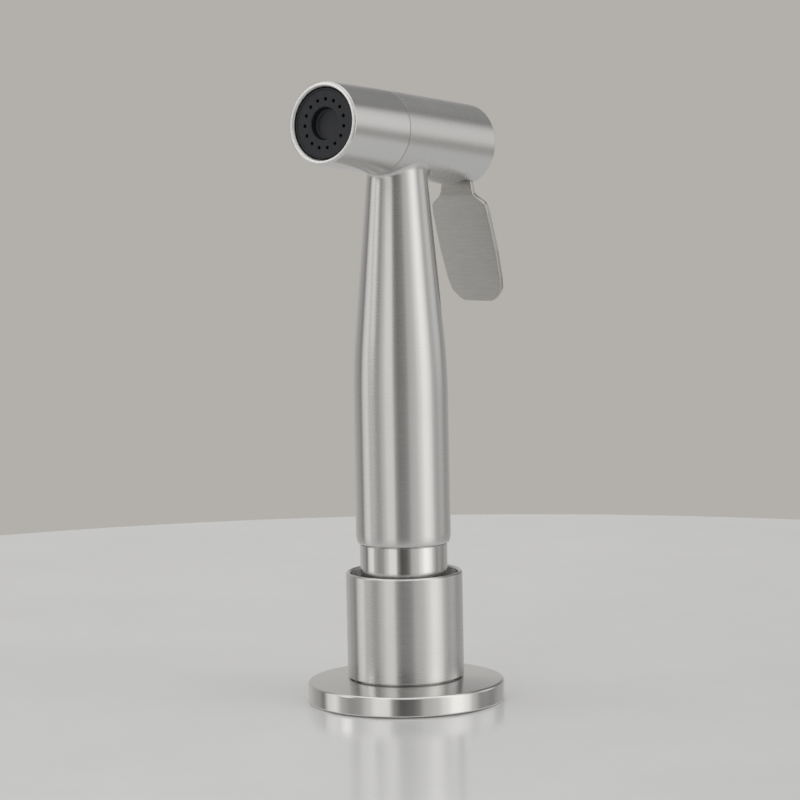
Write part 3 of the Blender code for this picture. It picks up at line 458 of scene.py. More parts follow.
def dress(piece, node, look=None):
    """Put a new piece in its CAD node's place: its slot, its body, and a look if it isn't the slot's own."""
    slot = SLOT_OF.get(node, "rubber")
    piece.data.materials.clear()
    piece.data.materials.append(SURFACES[look or slot])
    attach(piece, BODY_OF[node])
    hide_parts(node)
    return piece


# ------------ holder
SIDE_HEIGHT = 5.65 * MM  # top of the flange's side, where its sloping top begins
SEAT_INSET = 0.6 * MM  # how far the flange's seat lies inside the cup's wall
SEAT_DEPTH = 1.8 * MM


def flange():
    """The round plate on the deck: a seat for the cup on top and a recess for the gasket below."""
    size = size_of("flange")
    gasket = size_of("deck_gasket")
    seat = size_of("holder_cup").outer - SEAT_INSET
    recess = gasket.high + CLEARANCE
    corners = [
        (seat, size.high, EDGE),
        (size.outer, SIDE_HEIGHT, 0.75 * MM),
        (size.outer, size.low, 0.4 * MM),
        (gasket.outer + CLEARANCE, size.low, EDGE),
        (gasket.outer + CLEARANCE, recess),
        (gasket.inner - CLEARANCE, recess),
        (gasket.inner - CLEARANCE, size.low),
        (size.inner, size.low),
        (size.inner, size.high - SEAT_DEPTH),
        (seat, size.high - SEAT_DEPTH),
    ]
    dress(turned("flange_body", corners), "flange")


def holder_cup():
    """The cup: a shoulder on the shank's end, a groove for the bush's clip and a lip over the seal."""
    size = size_of("holder_cup")
    shank = size_of("threaded_shank")
    bush = size_of("guide_bush")
    clip = size_of("retaining_ring")
    seal = size_of("flange_o_ring")
    lip = seal.high + 0.1 * MM
    bore = bush.outer + CLEARANCE
    groove = clip.outer + CLEARANCE
    edge = 0.4 * MM
    corners = [
        (size.outer - edge, size.high, EDGE),
        (size.outer, size.high - edge, EDGE),
        (size.outer, size.low, 0.25 * MM),
        (seal.outer, size.low),
        (seal.outer, lip),
        (size.inner, lip),
        (size.inner, shank.high),
        (bore, shank.high),
        (bore, clip.low - CLEARANCE),
        (groove, clip.low - CLEARANCE),
        (groove, clip.high + CLEARANCE),
        (bore, clip.high + CLEARANCE, EDGE),
        (bore, size.high - edge, EDGE),
        (bore + edge, size.high, EDGE),
    ]
    dress(turned("cup_body", corners), "holder_cup")


EDGE_SHARE = 0.3  # most that a ring's rounded edge takes of its width or height
CORD_STEPS = 20  # steps round an O-ring's cord


def plain_ring(node, matrix=UPRIGHT, steps=FINE, edge=0.2 * MM):
    """A ring or washer of rectangular section with rounded edges."""
    size = size_of(node, matrix is HEAD)
    edge = min(edge, EDGE_SHARE * (size.outer - size.inner), EDGE_SHARE * (size.high - size.low))
    corners = [
        (size.outer, size.high, edge),
        (size.outer, size.low, edge),
        (size.inner, size.low, edge),
        (size.inner, size.high, edge),
    ]
    dress(turned(node + "_body", corners, matrix, steps), node)


def seal_ring(node, matrix=UPRIGHT, steps=FINE):
    """An O-ring: a true torus as large as the CAD's faceted one."""
    size = size_of(node, matrix is HEAD)
    middle = (size.outer + size.inner) / 2
    cord = (size.outer - size.inner) / 2
    angles = [-2 * pi * i / CORD_STEPS for i in range(CORD_STEPS)]
    corners = [(middle + cord * cos(a), size.middle + cord * sin(a)) for a in angles]
    dress(turned(node + "_body", corners, matrix, steps), node)


def groove(node, depth, wall, in_head=True):
    """The corners of a groove for an O-ring, from its high side, cut deeper than the ring's bore by depth."""
    ring = size_of(node, in_head)
    bottom = ring.inner - depth
    half = (ring.high - ring.low) / 2 + CLEARANCE
    return [
        (wall, ring.middle + half, EDGE),
        (bottom, ring.middle + half),
        (bottom, ring.middle - half),
        (wall, ring.middle - half, EDGE),
    ]


# depth of a thread's groove along one pitch, as a share of its full depth
THREAD_FORM = [0.0, 0.15, 0.6, 1.0, 1.0, 0.6, 0.15, 0.0]


def thread(name, outer, depth, pitch, low, high, after):
    """A helical thread that runs out at both ends, then a profile back down the bore to the start."""
    per_turn = len(THREAD_FORM)
    count = ceil((high - low) / pitch * per_turn)
    angles = [2 * pi * i / MEDIUM for i in range(MEDIUM)]
    rows = []
    for i in range(count + 1):
        z = low + (high - low) * i / count
        run_out = max(0.0, min(1.0, (z - low) / pitch, (high - z) / pitch))
        row = []
        for a in angles:
            phase = ((z - low) / pitch - a / (2 * pi)) % 1.0 * per_turn
            k = int(phase)
            share = phase - k
            cut = THREAD_FORM[k % per_turn] * (1 - share) + THREAD_FORM[(k + 1) % per_turn] * share
            r = outer - depth * cut * run_out
            row.append((r * cos(a), r * sin(a), z))
        rows.append(row)
    for r, z in after:
        rows.append([(r * cos(a), r * sin(a), z) for a in angles])
    return skin(name, rows, UPRIGHT)


SHANK_THREAD_DEPTH = 0.85 * MM
SHANK_PITCH = 1.5 * MM


def threaded_shank():
    """The hollow shank through the deck, with its outer thread."""
    size = size_of("threaded_shank")
    bevel = 0.5 * MM
    after = [
        (size.outer - bevel, size.high),
        (size.inner + bevel, size.high),
        (size.inner, size.high - bevel),
        (size.inner, size.low + bevel),
        (size.inner + bevel, size.low),
        (size.outer - bevel, size.low),
    ]
    made = thread("shank_thread", size.outer, SHANK_THREAD_DEPTH, SHANK_PITCH,
                  size.low + bevel, size.high - bevel, after)
    dress(made, "threaded_shank")


def lock_nut():
    """A hexagon with its corners turned off, and a bevelled bore."""
    size = size_of("lock_nut")
    bore = size_of("rubber_washer").inner
    height = size.high - size.low
    bevel = 1.4 * MM
    bevel_height = 0.9 * MM
    mouth_depth = 0.5 * MM
    round_wall = size.outer + 0.1 * MM
    bm = bmesh.new()
    hexagon(bm, size.outer, height)
    place = Matrix.Translation((0, 0, size.middle))
    upright_edges = [e for e in bm.edges if abs(e.verts[0].co.z - e.verts[1].co.z) > height / 2]
    bmesh.ops.bevel(bm, geom=upright_edges, offset=0.4 * MM, segments=4, profile=0.5, affect="EDGES")
    nut = add_object("lock_nut_body", bm, place)
    turning = [
        (0, size.high),
        (size.outer - bevel, size.high, 0.3 * MM),
        (round_wall, size.high - bevel_height),
        (round_wall, size.low + bevel_height),
        (size.outer - bevel, size.low, 0.3 * MM),
        (0, size.low),
    ]
    combine(nut, turned("nut_turning", turning, closed=False), "INTERSECT")
    drill = [
        (0, size.high + MM),
        (bore + bevel, size.high + MM),
        (bore, size.high - mouth_depth),
        (bore, size.low + mouth_depth),
        (bore + bevel, size.low - MM),
        (0, size.low - MM),
    ]
    combine(nut, turned("nut_drill", drill, closed=False), "DIFFERENCE")
    dress(nut, "lock_nut")


def guide_bush():
    """The plastic bush that turns in the cup, with a lip that the sleeve stands on."""
    size = size_of("guide_bush")
    sleeve = size_of("bottom_sleeve")
    bore = sleeve.outer + CLEARANCE
    lip_top = sleeve.low - CLEARANCE
    corners = [
        (size.outer, size.high, 0.25 * MM),
        (size.outer, size.low, 0.25 * MM),
        (size.inner, size.low, 0.25 * MM),
        (size.inner, lip_top, 0.25 * MM),
        (bore, lip_top),
        (bore, size.high, 0.35 * MM),
    ]
    dress(turned("bush_body", corners), "guide_bush")


# ------------ grip, sleeve and inlet
TAPER_CORNER = 92.3 * MM  # height where tube and cone would meet in a sharp corner
TAPER_BLEND = 9.0 * MM  # how far the soft corner reaches up and down
TAPER_START = TAPER_CORNER - TAPER_BLEND
TAPER_END = TAPER_CORNER + TAPER_BLEND
TAPER_SLOPE = 5.0 / 55.0
GRIP_WALL = 1.4 * MM
FOOT_HEIGHT = 3.0 * MM  # the grip draws in a little over its last part
FOOT_DEPTH = 0.6 * MM
FOOT_STEPS = 8
TAPER_STEPS = 24
WELD = 1.3 * MM  # fillet where the grip is welded to the head
WELD_STEPS = 8


def bend(t, first, middle, last):
    """A curve from first to last that heads for middle at both ends, at the share t."""
    return (1 - t) ** 2 * first + 2 * t * (1 - t) * middle + t ** 2 * last


def grip_radius(z):
    """The grip's outer radius at a height: a tube, a soft corner and a straight cone."""
    straight = size_of("handle_tube").outer
    if z <= TAPER_START:
        return straight
    if z >= TAPER_END:
        return straight - TAPER_SLOPE * (z - TAPER_CORNER)
    return straight - TAPER_SLOPE * (z - TAPER_START) ** 2 / (4 * TAPER_BLEND)


def head_underside(x, y, radius):
    """Height of the head's lower surface over a point of the plan."""
    tilt = HEAD.col[2].xyz
    depth = sqrt(max(0.0, radius ** 2 - x ** 2))
    point = HEAD @ Vector((0, depth, 0))
    slope = tilt.z / tilt.y
    return point.z + (y - point.y) * slope


def handle_tube():
    """The grip: a tube whose top row follows the head's underside, with the weld's fillet."""
    size = size_of("handle_tube")
    head_radius = size_of("head_shell", True).outer
    length = TAPER_END - TAPER_START
    angles = [2 * pi * i / FINE for i in range(FINE)]

    def circle(r, z):
        return [(r * cos(a), r * sin(a), z) for a in angles]

    def meeting(a, inset=0.0):
        """Height where the grip's wall at this angle meets the head."""
        z = size.high
        for _ in range(6):
            r = grip_radius(z) - inset
            z = head_underside(r * cos(a), r * sin(a), head_radius)
        return z

    def wall(heights, inset=0.0):
        """A row on the grip's wall, with a height for every angle."""
        radii = [grip_radius(z) - inset for z in heights]
        return [(r * cos(a), r * sin(a), z) for a, r, z in zip(angles, radii, heights)]

    outer_top = [meeting(a) for a in angles]
    inner_top = [meeting(a, GRIP_WALL) - 0.4 * MM for a in angles]
    # up the outside: the foot, the tube and the soft corner
    rows = [circle(size.outer - FOOT_DEPTH - GRIP_WALL / 2, size.low)]
    for k in range(FOOT_STEPS + 1):
        turn = radians(90 * k / FOOT_STEPS)
        rows.append(circle(size.outer - FOOT_DEPTH + FOOT_DEPTH * sin(turn),
                           size.low + FOOT_HEIGHT * (1 - cos(turn))))
    rows.append(circle(size.outer, TAPER_START - 0.5 * MM))
    for k in range(TAPER_STEPS + 1):
        z = TAPER_START + length * k / TAPER_STEPS
        rows.append(circle(grip_radius(z), z))
    # the cone, whose rows turn gradually into the line where it meets the head
    for share in (0.02, 0.5, 0.97, 1.0):
        rows.append(wall([TAPER_END + (top - WELD - TAPER_END) * share for top in outer_top]))
    # the weld: a curve from the cone's wall to the head's surface
    for k in range(1, WELD_STEPS + 1):
        t = k / WELD_STEPS
        row = []
        for a, top in zip(angles, outer_top):
            low_r = grip_radius(top - WELD)
            mid_r = grip_radius(top)
            far_r = mid_r + WELD
            far_z = head_underside(far_r * cos(a), far_r * sin(a), head_radius - 0.02 * MM)
            r = bend(t, low_r, mid_r, far_r)
            z = bend(t, top - WELD, top, far_z)
            row.append((r * cos(a), r * sin(a), z))
        rows.append(row)
    # down the inside
    rows.append(wall(inner_top, GRIP_WALL))
    for k in range(FOOT_STEPS + 1):
        z = TAPER_END - length * k / FOOT_STEPS
        rows.append(circle(grip_radius(z) - GRIP_WALL, z))
    rows.append(circle(size.outer - GRIP_WALL, size.low + CLEARANCE))
    dress(skin("grip_tube", rows, UPRIGHT), "handle_tube")


def bottom_sleeve():
    """The sleeve below the grip, with a spigot inside the grip and a seat for the nipple and filter."""
    size = size_of("bottom_sleeve")
    grip = size_of("handle_tube")
    spigot = grip.outer - GRIP_WALL - CLEARANCE
    shoulder = grip.low - CLEARANCE
    bore = size_of("hose_nipple").outer + CLEARANCE
    ledge = size_of("inlet_filter").high + CLEARANCE
    bevel = 0.55 * MM
    corners = [
        (spigot, size.high, 0.3 * MM),
        *groove("sleeve_o_ring", 0.2 * MM, spigot, in_head=False),
        (spigot, shoulder),
        (size.outer, shoulder, 0.1 * MM),
        (size.outer, size.low + bevel, 0.3 * MM),
        (size.outer - bevel, size.low, 0.2 * MM),
        (bore, size.low, EDGE),
        (bore, ledge),
        (size.inner, ledge),
        (size.inner, size.high, EDGE),
    ]
    dress(turned("sleeve_body", corners), "bottom_sleeve")


HOSE_THREAD_DEPTH = 1.1 * MM
HOSE_PITCH = 1.814 * MM  # G 1/2


def hose_nipple():
    """The inlet: a threaded end for the hose's nut and a spigot that seals in the sleeve."""
    size = size_of("hose_nipple")
    sleeve = size_of("bottom_sleeve")
    thread_radius = size.outer - 0.3 * MM
    bevel = 0.6 * MM
    body = rounded([
        (thread_radius, sleeve.low),
        (size.outer, sleeve.low, EDGE),
        *reversed(groove("nipple_o_ring", 0.2 * MM, size.outer, in_head=False)),
        (size.outer, size.high, 0.3 * MM),
        (size.inner, size.high, 0.3 * MM),
        (size.inner, size.low + bevel),
        (size.inner + bevel, size.low),
        (thread_radius - bevel, size.low),
    ], closed=False)
    made = thread("nipple_thread", thread_radius, HOSE_THREAD_DEPTH, HOSE_PITCH,
                  size.low + bevel, sleeve.low - 0.5 * MM, body)
    dress(made, "hose_nipple")


def drill_ring(disc, matrix, low, high, count, circle, radius, mouth=None, first=0.0):
    """Drill equal holes round a circle; they widen from the height mouth towards the low end."""
    for i in range(count):
        angle = first + 2 * pi * i / count
        place = matrix @ Matrix.Translation((circle * cos(angle), circle * sin(angle), 0))
        corners = bar(radius, low, high)
        if mouth is not None:
            corners = [(0, high), (radius, high), (radius, mouth), (radius + mouth - low, low), (0, low)]
        combine(disc, turned("drill", corners, place, JET_STEPS, closed=False), "DIFFERENCE")


def drilled_disc(node, matrix, count, circle, radius, name):
    """A disc with a ring of round holes."""
    size = size_of(node, matrix is HEAD)
    corners = bar(size.outer, size.low, size.high, 0.15 * MM)
    disc = turned(name, corners, matrix, MEDIUM, closed=False)
    drill_ring(disc, matrix, size.low - MM, size.high + MM, count, circle, radius)
    dress(disc, node)


# ------------ head
NOTCH_HALF_WIDTH = 5.6 * MM  # the lever's notch in the rear of the head
NOTCH_TOP = 4.7 * MM
NOTCH_FRONT = 24.58 * MM
FAR = 60 * MM  # past the rear of the head


def notch_cutter():
    """A block as large as the notch, open downwards and to the rear."""
    low = (-NOTCH_HALF_WIDTH, NOTCH_TOP, NOTCH_FRONT)
    high = (NOTCH_HALF_WIDTH, 20 * MM, FAR)
    return box_mesh("notch", low, high, HEAD, 0.8 * MM)


def bore_hole(piece, matrix, radius, reach):
    """Drill a round hole along a frame's Z, as far each way as reach."""
    combine(piece, turned("drill", bar(radius, -reach, reach), matrix, SMALL, closed=False), "DIFFERENCE")


def port_frame(outer):
    """The frame of the water's way up from the grip, on a piece's underside."""
    return HEAD @ Matrix.Translation((0, outer, 0)) @ Matrix.Rotation(radians(90), 4, "X")


@cache
def pin():
    """The lever's pin: its middle as a frame, a frame with Z along it, half its length and its radius."""
    low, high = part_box("lever_pin")
    middle = Matrix.Translation((low + high) / 2)
    along = middle @ Matrix.Rotation(radians(90), 4, "Y")
    half, _, radius = (high - low) / 2
    return SimpleNamespace(middle=middle, along=along, half=half, radius=radius)


def head_shell():
    """The head's tube, with the water's port below and the notch for the lever."""
    size = size_of("head_shell", True)
    corners = [
        (size.inner, size.high - 0.1 * MM, 0.08 * MM),
        (size.inner + 0.25 * MM, size.high, 0.08 * MM),
        (size.outer, size.high, 0.95 * MM),
        (size.outer, size.low, 0.04 * MM),
        (size.inner, size.low),
    ]
    shell = turned("head_tube", corners, HEAD)
    bore_hole(shell, port_frame(size.outer), 5 * MM, 6 * MM)
    combine(shell, notch_cutter(), "DIFFERENCE")
    dress(shell, "head_shell")


def rear_plug():
    """The disc that closes the rear of the head."""
    size = size_of("rear_plug", True)
    corners = [
        (0, size.high),
        (size.outer, size.high, 0.35 * MM),
        (size.outer, size.low, 0.2 * MM),
        (0, size.low),
    ]
    plug = turned("plug_disc", corners, HEAD, closed=False)
    combine(plug, notch_cutter(), "DIFFERENCE")
    dress(plug, "rear_plug")


SEAM = 0.14 * MM  # gap between nozzle and head
NOZZLE_WALL = 1.0 * MM


def nozzle_cap():
    """The nozzle, widening towards the head, with a lip round the spray face."""
    size = size_of("nozzle_cap", True)
    shell = size_of("head_shell", True)
    rear = shell.low - SEAM
    bore = size.outer - NOZZLE_WALL
    lip = size.inner
    lip_rear = size.low + 1.95 * MM
    corners = [
        (shell.outer - 0.05 * MM, rear, 0.03 * MM),
        (size.outer, size.low, 0.7 * MM),
        (lip + 0.3 * MM, size.low, 0.12 * MM),
        (lip, size.low + 0.45 * MM, 0.12 * MM),
        (lip, lip_rear),
        (bore, lip_rear),
        (bore, rear),
    ]
    dress(turned("nozzle_body", corners, HEAD), "nozzle_cap", "satin_steel")


JETS = 15
JET_CIRCLE = 6.5 * MM
HOLLOW = 4.35 * MM  # radius of the round hollow in the face
HOLLOW_DEPTH = 2.2 * MM
FACE_THICKNESS = 1.6 * MM


def spray_face():
    """The black face: a raised rim, fifteen jets with small mouths and a round hollow."""
    size = size_of("spray_face", True)
    outer = size_of("nozzle_cap", True).inner - CLEARANCE
    skirt = size.outer - 1.2 * MM
    front = size.low
    floor = front + 0.25 * MM
    shoulder = size.high - 2.5 * MM
    cup = 4.9 * MM
    corners = [
        (0, front + HOLLOW_DEPTH + FACE_THICKNESS),
        (cup, front + HOLLOW_DEPTH + FACE_THICKNESS, EDGE),
        (cup, floor + FACE_THICKNESS),
        (skirt, floor + FACE_THICKNESS),
        (skirt, size.high),
        (size.outer, size.high),
        (size.outer, shoulder),
        (outer, shoulder),
        (outer, front, 0.18 * MM),
        (outer - 0.45 * MM, front, 0.12 * MM),
        (outer - 0.55 * MM, floor, 0.1 * MM),
        (HOLLOW, floor, 0.35 * MM),
        (HOLLOW - 0.3 * MM, front + HOLLOW_DEPTH, 0.5 * MM),
        (0, front + HOLLOW_DEPTH),
    ]
    face = turned("face_plate", corners, HEAD, closed=False)
    drill_ring(face, HEAD, floor - 0.3 * MM, floor + 4 * MM, JETS, JET_CIRCLE, 0.45 * MM,
               mouth=floor + 0.12 * MM, first=-pi / 2)
    dress(face, "spray_face")


# ------------ valve
ROD = 1.5 * MM  # radius of the stem's rear part
STUB = 1.3 * MM  # radius of its front part, inside the washer
STEM_FLANGE = 1.5 * MM  # thickness


def valve_stem():
    """The stem: a rod to the rear, a flange that the spring pushes on and a stub for the washer."""
    size = size_of("valve_stem", True)
    flange_front = size_of("valve_washer", True).high + CLEARANCE
    flange_rear = flange_front + STEM_FLANGE
    corners = [
        (0, size.high),
        (ROD, size.high, 0.3 * MM),
        (ROD, flange_rear, 0.2 * MM),
        (size.outer, flange_rear, 0.2 * MM),
        (size.outer, flange_front, 0.2 * MM),
        (STUB, flange_front),
        (STUB, size.low, 0.3 * MM),
        (0, size.low),
    ]
    dress(turned("stem_rod", corners, HEAD, MEDIUM, closed=False), "valve_stem")


def stem_nut():
    """The small hexagon that the lever's fork pulls on."""
    size = size_of("stem_nut", True)
    height = size.high - size.low
    place = HEAD @ Matrix.Translation((0, 0, size.middle))
    bm = bmesh.new()
    hexagon(bm, size.outer, height)
    bmesh.ops.bevel(bm, geom=bm.edges, offset=0.15 * MM, segments=3, profile=0.5, affect="EDGES")
    nut = add_object("stem_nut_body", bm, place)
    bore_hole(nut, place, 1.7 * MM, height / 2 + MM)
    dress(nut, "stem_nut")


def lever_pin():
    """The pin across the head that the lever turns on."""
    corners = bar(pin().radius, -pin().half, pin().half, 0.25 * MM)
    dress(turned("pin_rod", corners, pin().along, MEDIUM, closed=False), "lever_pin")


SPRING_WIRE = 0.4 * MM  # radius of the wire
SPRING_TURNS = 4.5
SPRING_STEPS = 48  # per turn
WIRE_STEPS = 16  # round the wire


def valve_spring():
    """The closing spring: a round wire wound in a helix."""
    size = size_of("valve_spring", True)
    coil = size.outer - SPRING_WIRE
    count = int(SPRING_TURNS * SPRING_STEPS)
    low = size.low + SPRING_WIRE
    high = size.high - SPRING_WIRE
    rise = (high - low) / (2 * pi * SPRING_TURNS)
    angles = [2 * pi * k / WIRE_STEPS for k in range(WIRE_STEPS)]
    rows = []
    for i in range(count + 1):
        a = 2 * pi * SPRING_TURNS * i / count
        centre = Vector((coil * cos(a), coil * sin(a), low + rise * a))
        along = Vector((-coil * sin(a), coil * cos(a), rise)).normalized()
        out = Vector((cos(a), sin(a), 0))
        up = along.cross(out)
        rows.append([centre + SPRING_WIRE * (cos(b) * out + sin(b) * up) for b in angles])
    spring = dress(skin("spring_wire", capped(rows), HEAD, closed=False), "valve_spring")
    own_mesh(spring)


CHAMBER = 5.6 * MM  # radius of the space round the stem's flange and spring
STEM_BORE = 1.8 * MM
CHAMBER_WALL = 1.6 * MM  # between the chamber and the gland
GLAND_DEPTH = 4.0 * MM
SLOT_HALF_WIDTH = 5.5 * MM  # room for the lever's hub and fork between the cheeks
PIN_ROOM = 0.2 * MM


def valve_body():
    """The brass cartridge, with its port, the cheeks for the lever and the hole for the lever's pin."""
    size = size_of("valve_body", True)
    seat = size_of("seat_insert", True)
    spigot = size_of("spacer_ring", True).outer
    step = size_of("head_shell", True).low
    gland = size_of("gland_nut", True).outer + CLEARANCE
    seat_bore = seat.outer + CLEARANCE
    chamber_front = seat.high - 0.2 * MM
    chamber_rear = size_of("valve_spring", True).high + CLEARANCE
    gland_front = chamber_rear + CHAMBER_WALL
    gland_rear = gland_front + GLAND_DEPTH
    corners = [
        (size.outer, size.high, 0.25 * MM),
        *groove("body_o_ring_rear", 0.2 * MM, size.outer),
        *groove("body_o_ring_front", 0.2 * MM, size.outer),
        (size.outer, step, EDGE),
        (spigot, step),
        *groove("cap_o_ring", 0.2 * MM, spigot),
        (spigot, size.low, 0.3 * MM),
        (seat_bore, size.low, 0.3 * MM),
        (seat_bore, chamber_front),
        (CHAMBER, chamber_front),
        (CHAMBER, chamber_rear),
        (STEM_BORE, chamber_rear),
        (STEM_BORE, gland_front),
        (gland, gland_front),
        (gland, size.high, 0.25 * MM),
    ]
    body = turned("valve_cartridge", corners, HEAD)
    bore_hole(body, port_frame(size.outer), 3.5 * MM, 5 * MM)
    low = (-SLOT_HALF_WIDTH, -20 * MM, gland_rear)
    high = (SLOT_HALF_WIDTH, 20 * MM, FAR)
    combine(body, box_mesh("slot", low, high, HEAD, 0.4 * MM), "DIFFERENCE")
    bore_hole(body, pin().along, pin().radius + PIN_ROOM, 20 * MM)
    dress(body, "valve_body")


def seat_insert():
    """The valve seat: a ring with a raised round lip and a groove for its own O-ring."""
    size = size_of("seat_insert", True)
    lip = 0.5 * MM
    face = size.high - lip
    corners = [
        (size.inner + lip, size.high, 0.2 * MM),
        (size.inner + 2 * lip, face, 0.2 * MM),
        (size.outer, face, EDGE),
        *groove("seat_o_ring", 0.1 * MM, size.outer),
        (size.outer, size.low, 0.2 * MM),
        (size.inner, size.low, 0.3 * MM),
        (size.inner, size.high, 0.15 * MM),
    ]
    dress(turned("seat_ring", corners, HEAD), "seat_insert")


# ------------ lever
PLATE = 1.8 * MM  # thickness
PLATE_EDGE = 0.55 * MM  # radius of its edges
PLATE_STEP = 0.35 * MM  # most between two rows of points along it
WEB_TOP = 0.2 * MM  # top of the plate at the hub, above the pin's middle
NECK_FRONT = 5.18 * MM  # front of the neck, behind the pin's middle
BEND_DOWN = 9.25 * MM  # from the pin's middle down to the bend
BLADE_TURN = radians(18.5)  # the blade's lean from the upright
BLADE_LENGTH = 31.7  # in mm, like the outline
# half widths of the plate by the distance below its bend, in mm
OUTLINE = [
    (-40.0, 5.0), (-3.4, 5.0), (-0.6, 5.5), (0.2, 6.0), (2.3, 8.9), (3.0, 9.15), (5.4, 9.4), (16.4, 9.55),
    (24.7, 9.1), (28.3, 8.45), (30.9, 6.1), (31.7, 4.4),
]
HUB_HALF_WIDTH = 5.0 * MM
HUB_RADIUS = 2.3 * MM
HUB_BORE = 1.7 * MM
ARM_LOW = (2.0 * MM, -1.3 * MM, 0)  # inner side, front and foot of an arm of the fork
ARM_HIGH = (4.2 * MM, 1.1 * MM, 6.7 * MM)  # outer side, rear and tip


def half_width(s):
    """Half width of the plate, in metres, at a distance s in mm below its bend."""
    for (s0, w0), (s1, w1) in zip(OUTLINE, OUTLINE[1:]):
        if s <= s1:
            return (w0 + (w1 - w0) * (s - s0) / (s1 - s0)) * MM
    return OUTLINE[-1][1] * MM


def softened(s, reach=0.5):
    """The same with the outline's corners rounded over a short reach: the mean of nine places."""
    total = 0.0
    for k in range(-4, 5):
        total += half_width(min(s + reach * k / 4, BLADE_LENGTH))
    return total / 9


def lever_path():
    """Middle line of the plate as (y, z) from the pin, over the hub, down the neck and along the blade."""
    tilt = -HEAD.col[2].z / HEAD.col[2].y
    half = PLATE / 2
    neck = NECK_FRONT + half
    web = WEB_TOP - half
    knee = -BEND_DOWN
    length = BLADE_LENGTH * MM
    corners = [
        (0.0, web),
        (neck, web - neck * tilt, 1.9 * MM),
        (neck, knee + half * tan(BLADE_TURN / 2), 6.0 * MM),
        (neck + length * sin(BLADE_TURN), knee - length * cos(BLADE_TURN)),
    ]
    path = rounded(corners, closed=False)
    fine = []
    for (y0, z0), (y1, z1) in zip(path, path[1:]):
        steps = max(1, ceil(dist((y0, z0), (y1, z1)) / PLATE_STEP))
        fine += [(y0 + (y1 - y0) * k / steps, z0 + (z1 - z0) * k / steps) for k in range(steps)]
    return fine + [path[-1]]


def plate_row(middle, along, width, thick, edge):
    """The plate's section at one place of its path: half its width and thickness, and its edges' radius."""
    row = []
    for quarter, (side, face) in enumerate(((1, 1), (-1, 1), (-1, -1), (1, -1))):
        for k in range(7):
            turn = radians(90 * quarter + ARC_STEP * k)
            x = side * (width - edge) + edge * cos(turn)
            n = face * (thick - edge) + edge * sin(turn)
            row.append(Vector((x, middle[0] - along[1] * n, middle[1] + along[0] * n)))
    return row


def trigger_lever():
    """The trigger: a bent plate with rounded edges, its hub and the fork that pulls the stem."""
    path = lever_path()
    run = [0.0]
    for here, after in zip(path, path[1:]):
        run.append(run[-1] + dist(here, after))
    rows = []
    for i, here in enumerate(path):
        along, _ = unit(path[max(0, i - 1)], path[min(len(path) - 1, i + 1)])
        left = run[-1] - run[i]
        shrink = 0.0
        if left < PLATE_EDGE:
            shrink = PLATE_EDGE - sqrt(max(0.0, PLATE_EDGE ** 2 - (PLATE_EDGE - left) ** 2))
        shrink = min(shrink, PLATE_EDGE - 0.02 * MM)
        width = softened(BLADE_LENGTH - left / MM) - shrink
        rows.append(plate_row(here, along, width, PLATE / 2 - shrink, PLATE_EDGE - shrink))
    lever = skin("lever_plate", capped(rows), pin().middle, closed=False)
    corners = bar(HUB_RADIUS, -HUB_HALF_WIDTH, HUB_HALF_WIDTH, 0.2 * MM)
    combine(lever, turned("hub", corners, pin().along, MEDIUM, closed=False), "UNION")
    place = pin().middle @ Matrix.Rotation(atan2(HEAD.col[2].z, HEAD.col[2].y), 4, "X")
    for hand in (-1, 1):
        left, right = sorted((hand * ARM_LOW[0], hand * ARM_HIGH[0]))
        arm = box_mesh("arm", (left, *ARM_LOW[1:]), (right, *ARM_HIGH[1:]), place, 0.25 * MM)
        combine(lever, arm, "UNION")
    bore_hole(lever, pin().along, HUB_BORE, 2 * HUB_HALF_WIDTH)
    dress(lever, "trigger_lever")


# ------------ stage
CAMERA_PLACE = Vector((0.4888, -0.6547, 0.164))
CAMERA_TURN = 36.761  # degrees round Z
CAMERA_DIP = 5.664  # degrees below the horizon
CAMERA_ROLL = -1.107
LENS = 135.18
SENSOR = 36

# brightness of the room round the object, by degrees to the right of the camera's side
ROOM = [
    (-180, 0.50), (-150, 0.50), (-126, 0.38), (-114, 0.22), (-104, 0.80), (-92, 0.92), (-80, 0.46),
    (-68, 0.32), (-58, 0.36), (-46, 0.64), (-36, 0.92), (-22, 0.92), (-14, 0.26), (-6, 0.08), (6, 0.11),
    (13, 0.20), (22, 0.52), (36, 0.64), (46, 0.90), (58, 1.20), (66, 1.20), (76, 1.00), (86, 0.58),
    (98, 0.28), (115, 0.24), (140, 0.40), (180, 0.50),
]
WARMTH = (1, 0.99, 0.97)
# sine of the angle above the horizon where it begins and where it covers the room, and its brightness
CEILING = (0.6, 0.95, 1.1)
COUNTER = (0.22, 0.42, 0.60)  # the same below the horizon
# soft lamps: degrees to the right of the camera's side, degrees up, reach in degrees, brightness
LAMPS = [(150, 32, 34, 0.19), (10, 42, 30, 0.6), (109, 11, 23, 0.80), (-75, 17, 12, 1.8)]
BACKDROP = (0.45, 0.434, 0.407)
FLOOR_RADIUS = 0.372


def camera():
    """The camera, which sees the object as the photograph does."""
    data = bpy.data.cameras.new("camera")
    data.lens = LENS
    data.sensor_width = SENSOR
    data.clip_end = 100
    made = bpy.data.objects.new("camera", data)
    bpy.context.scene.collection.objects.link(made)
    made.matrix_world = (Matrix.Translation(CAMERA_PLACE) @ Matrix.Rotation(radians(CAMERA_TURN), 4, "Z")
                         @ Matrix.Rotation(radians(90 - CAMERA_DIP), 4, "X")
                         @ Matrix.Rotation(radians(CAMERA_ROLL), 4, "Z"))
    bpy.context.scene.camera = made


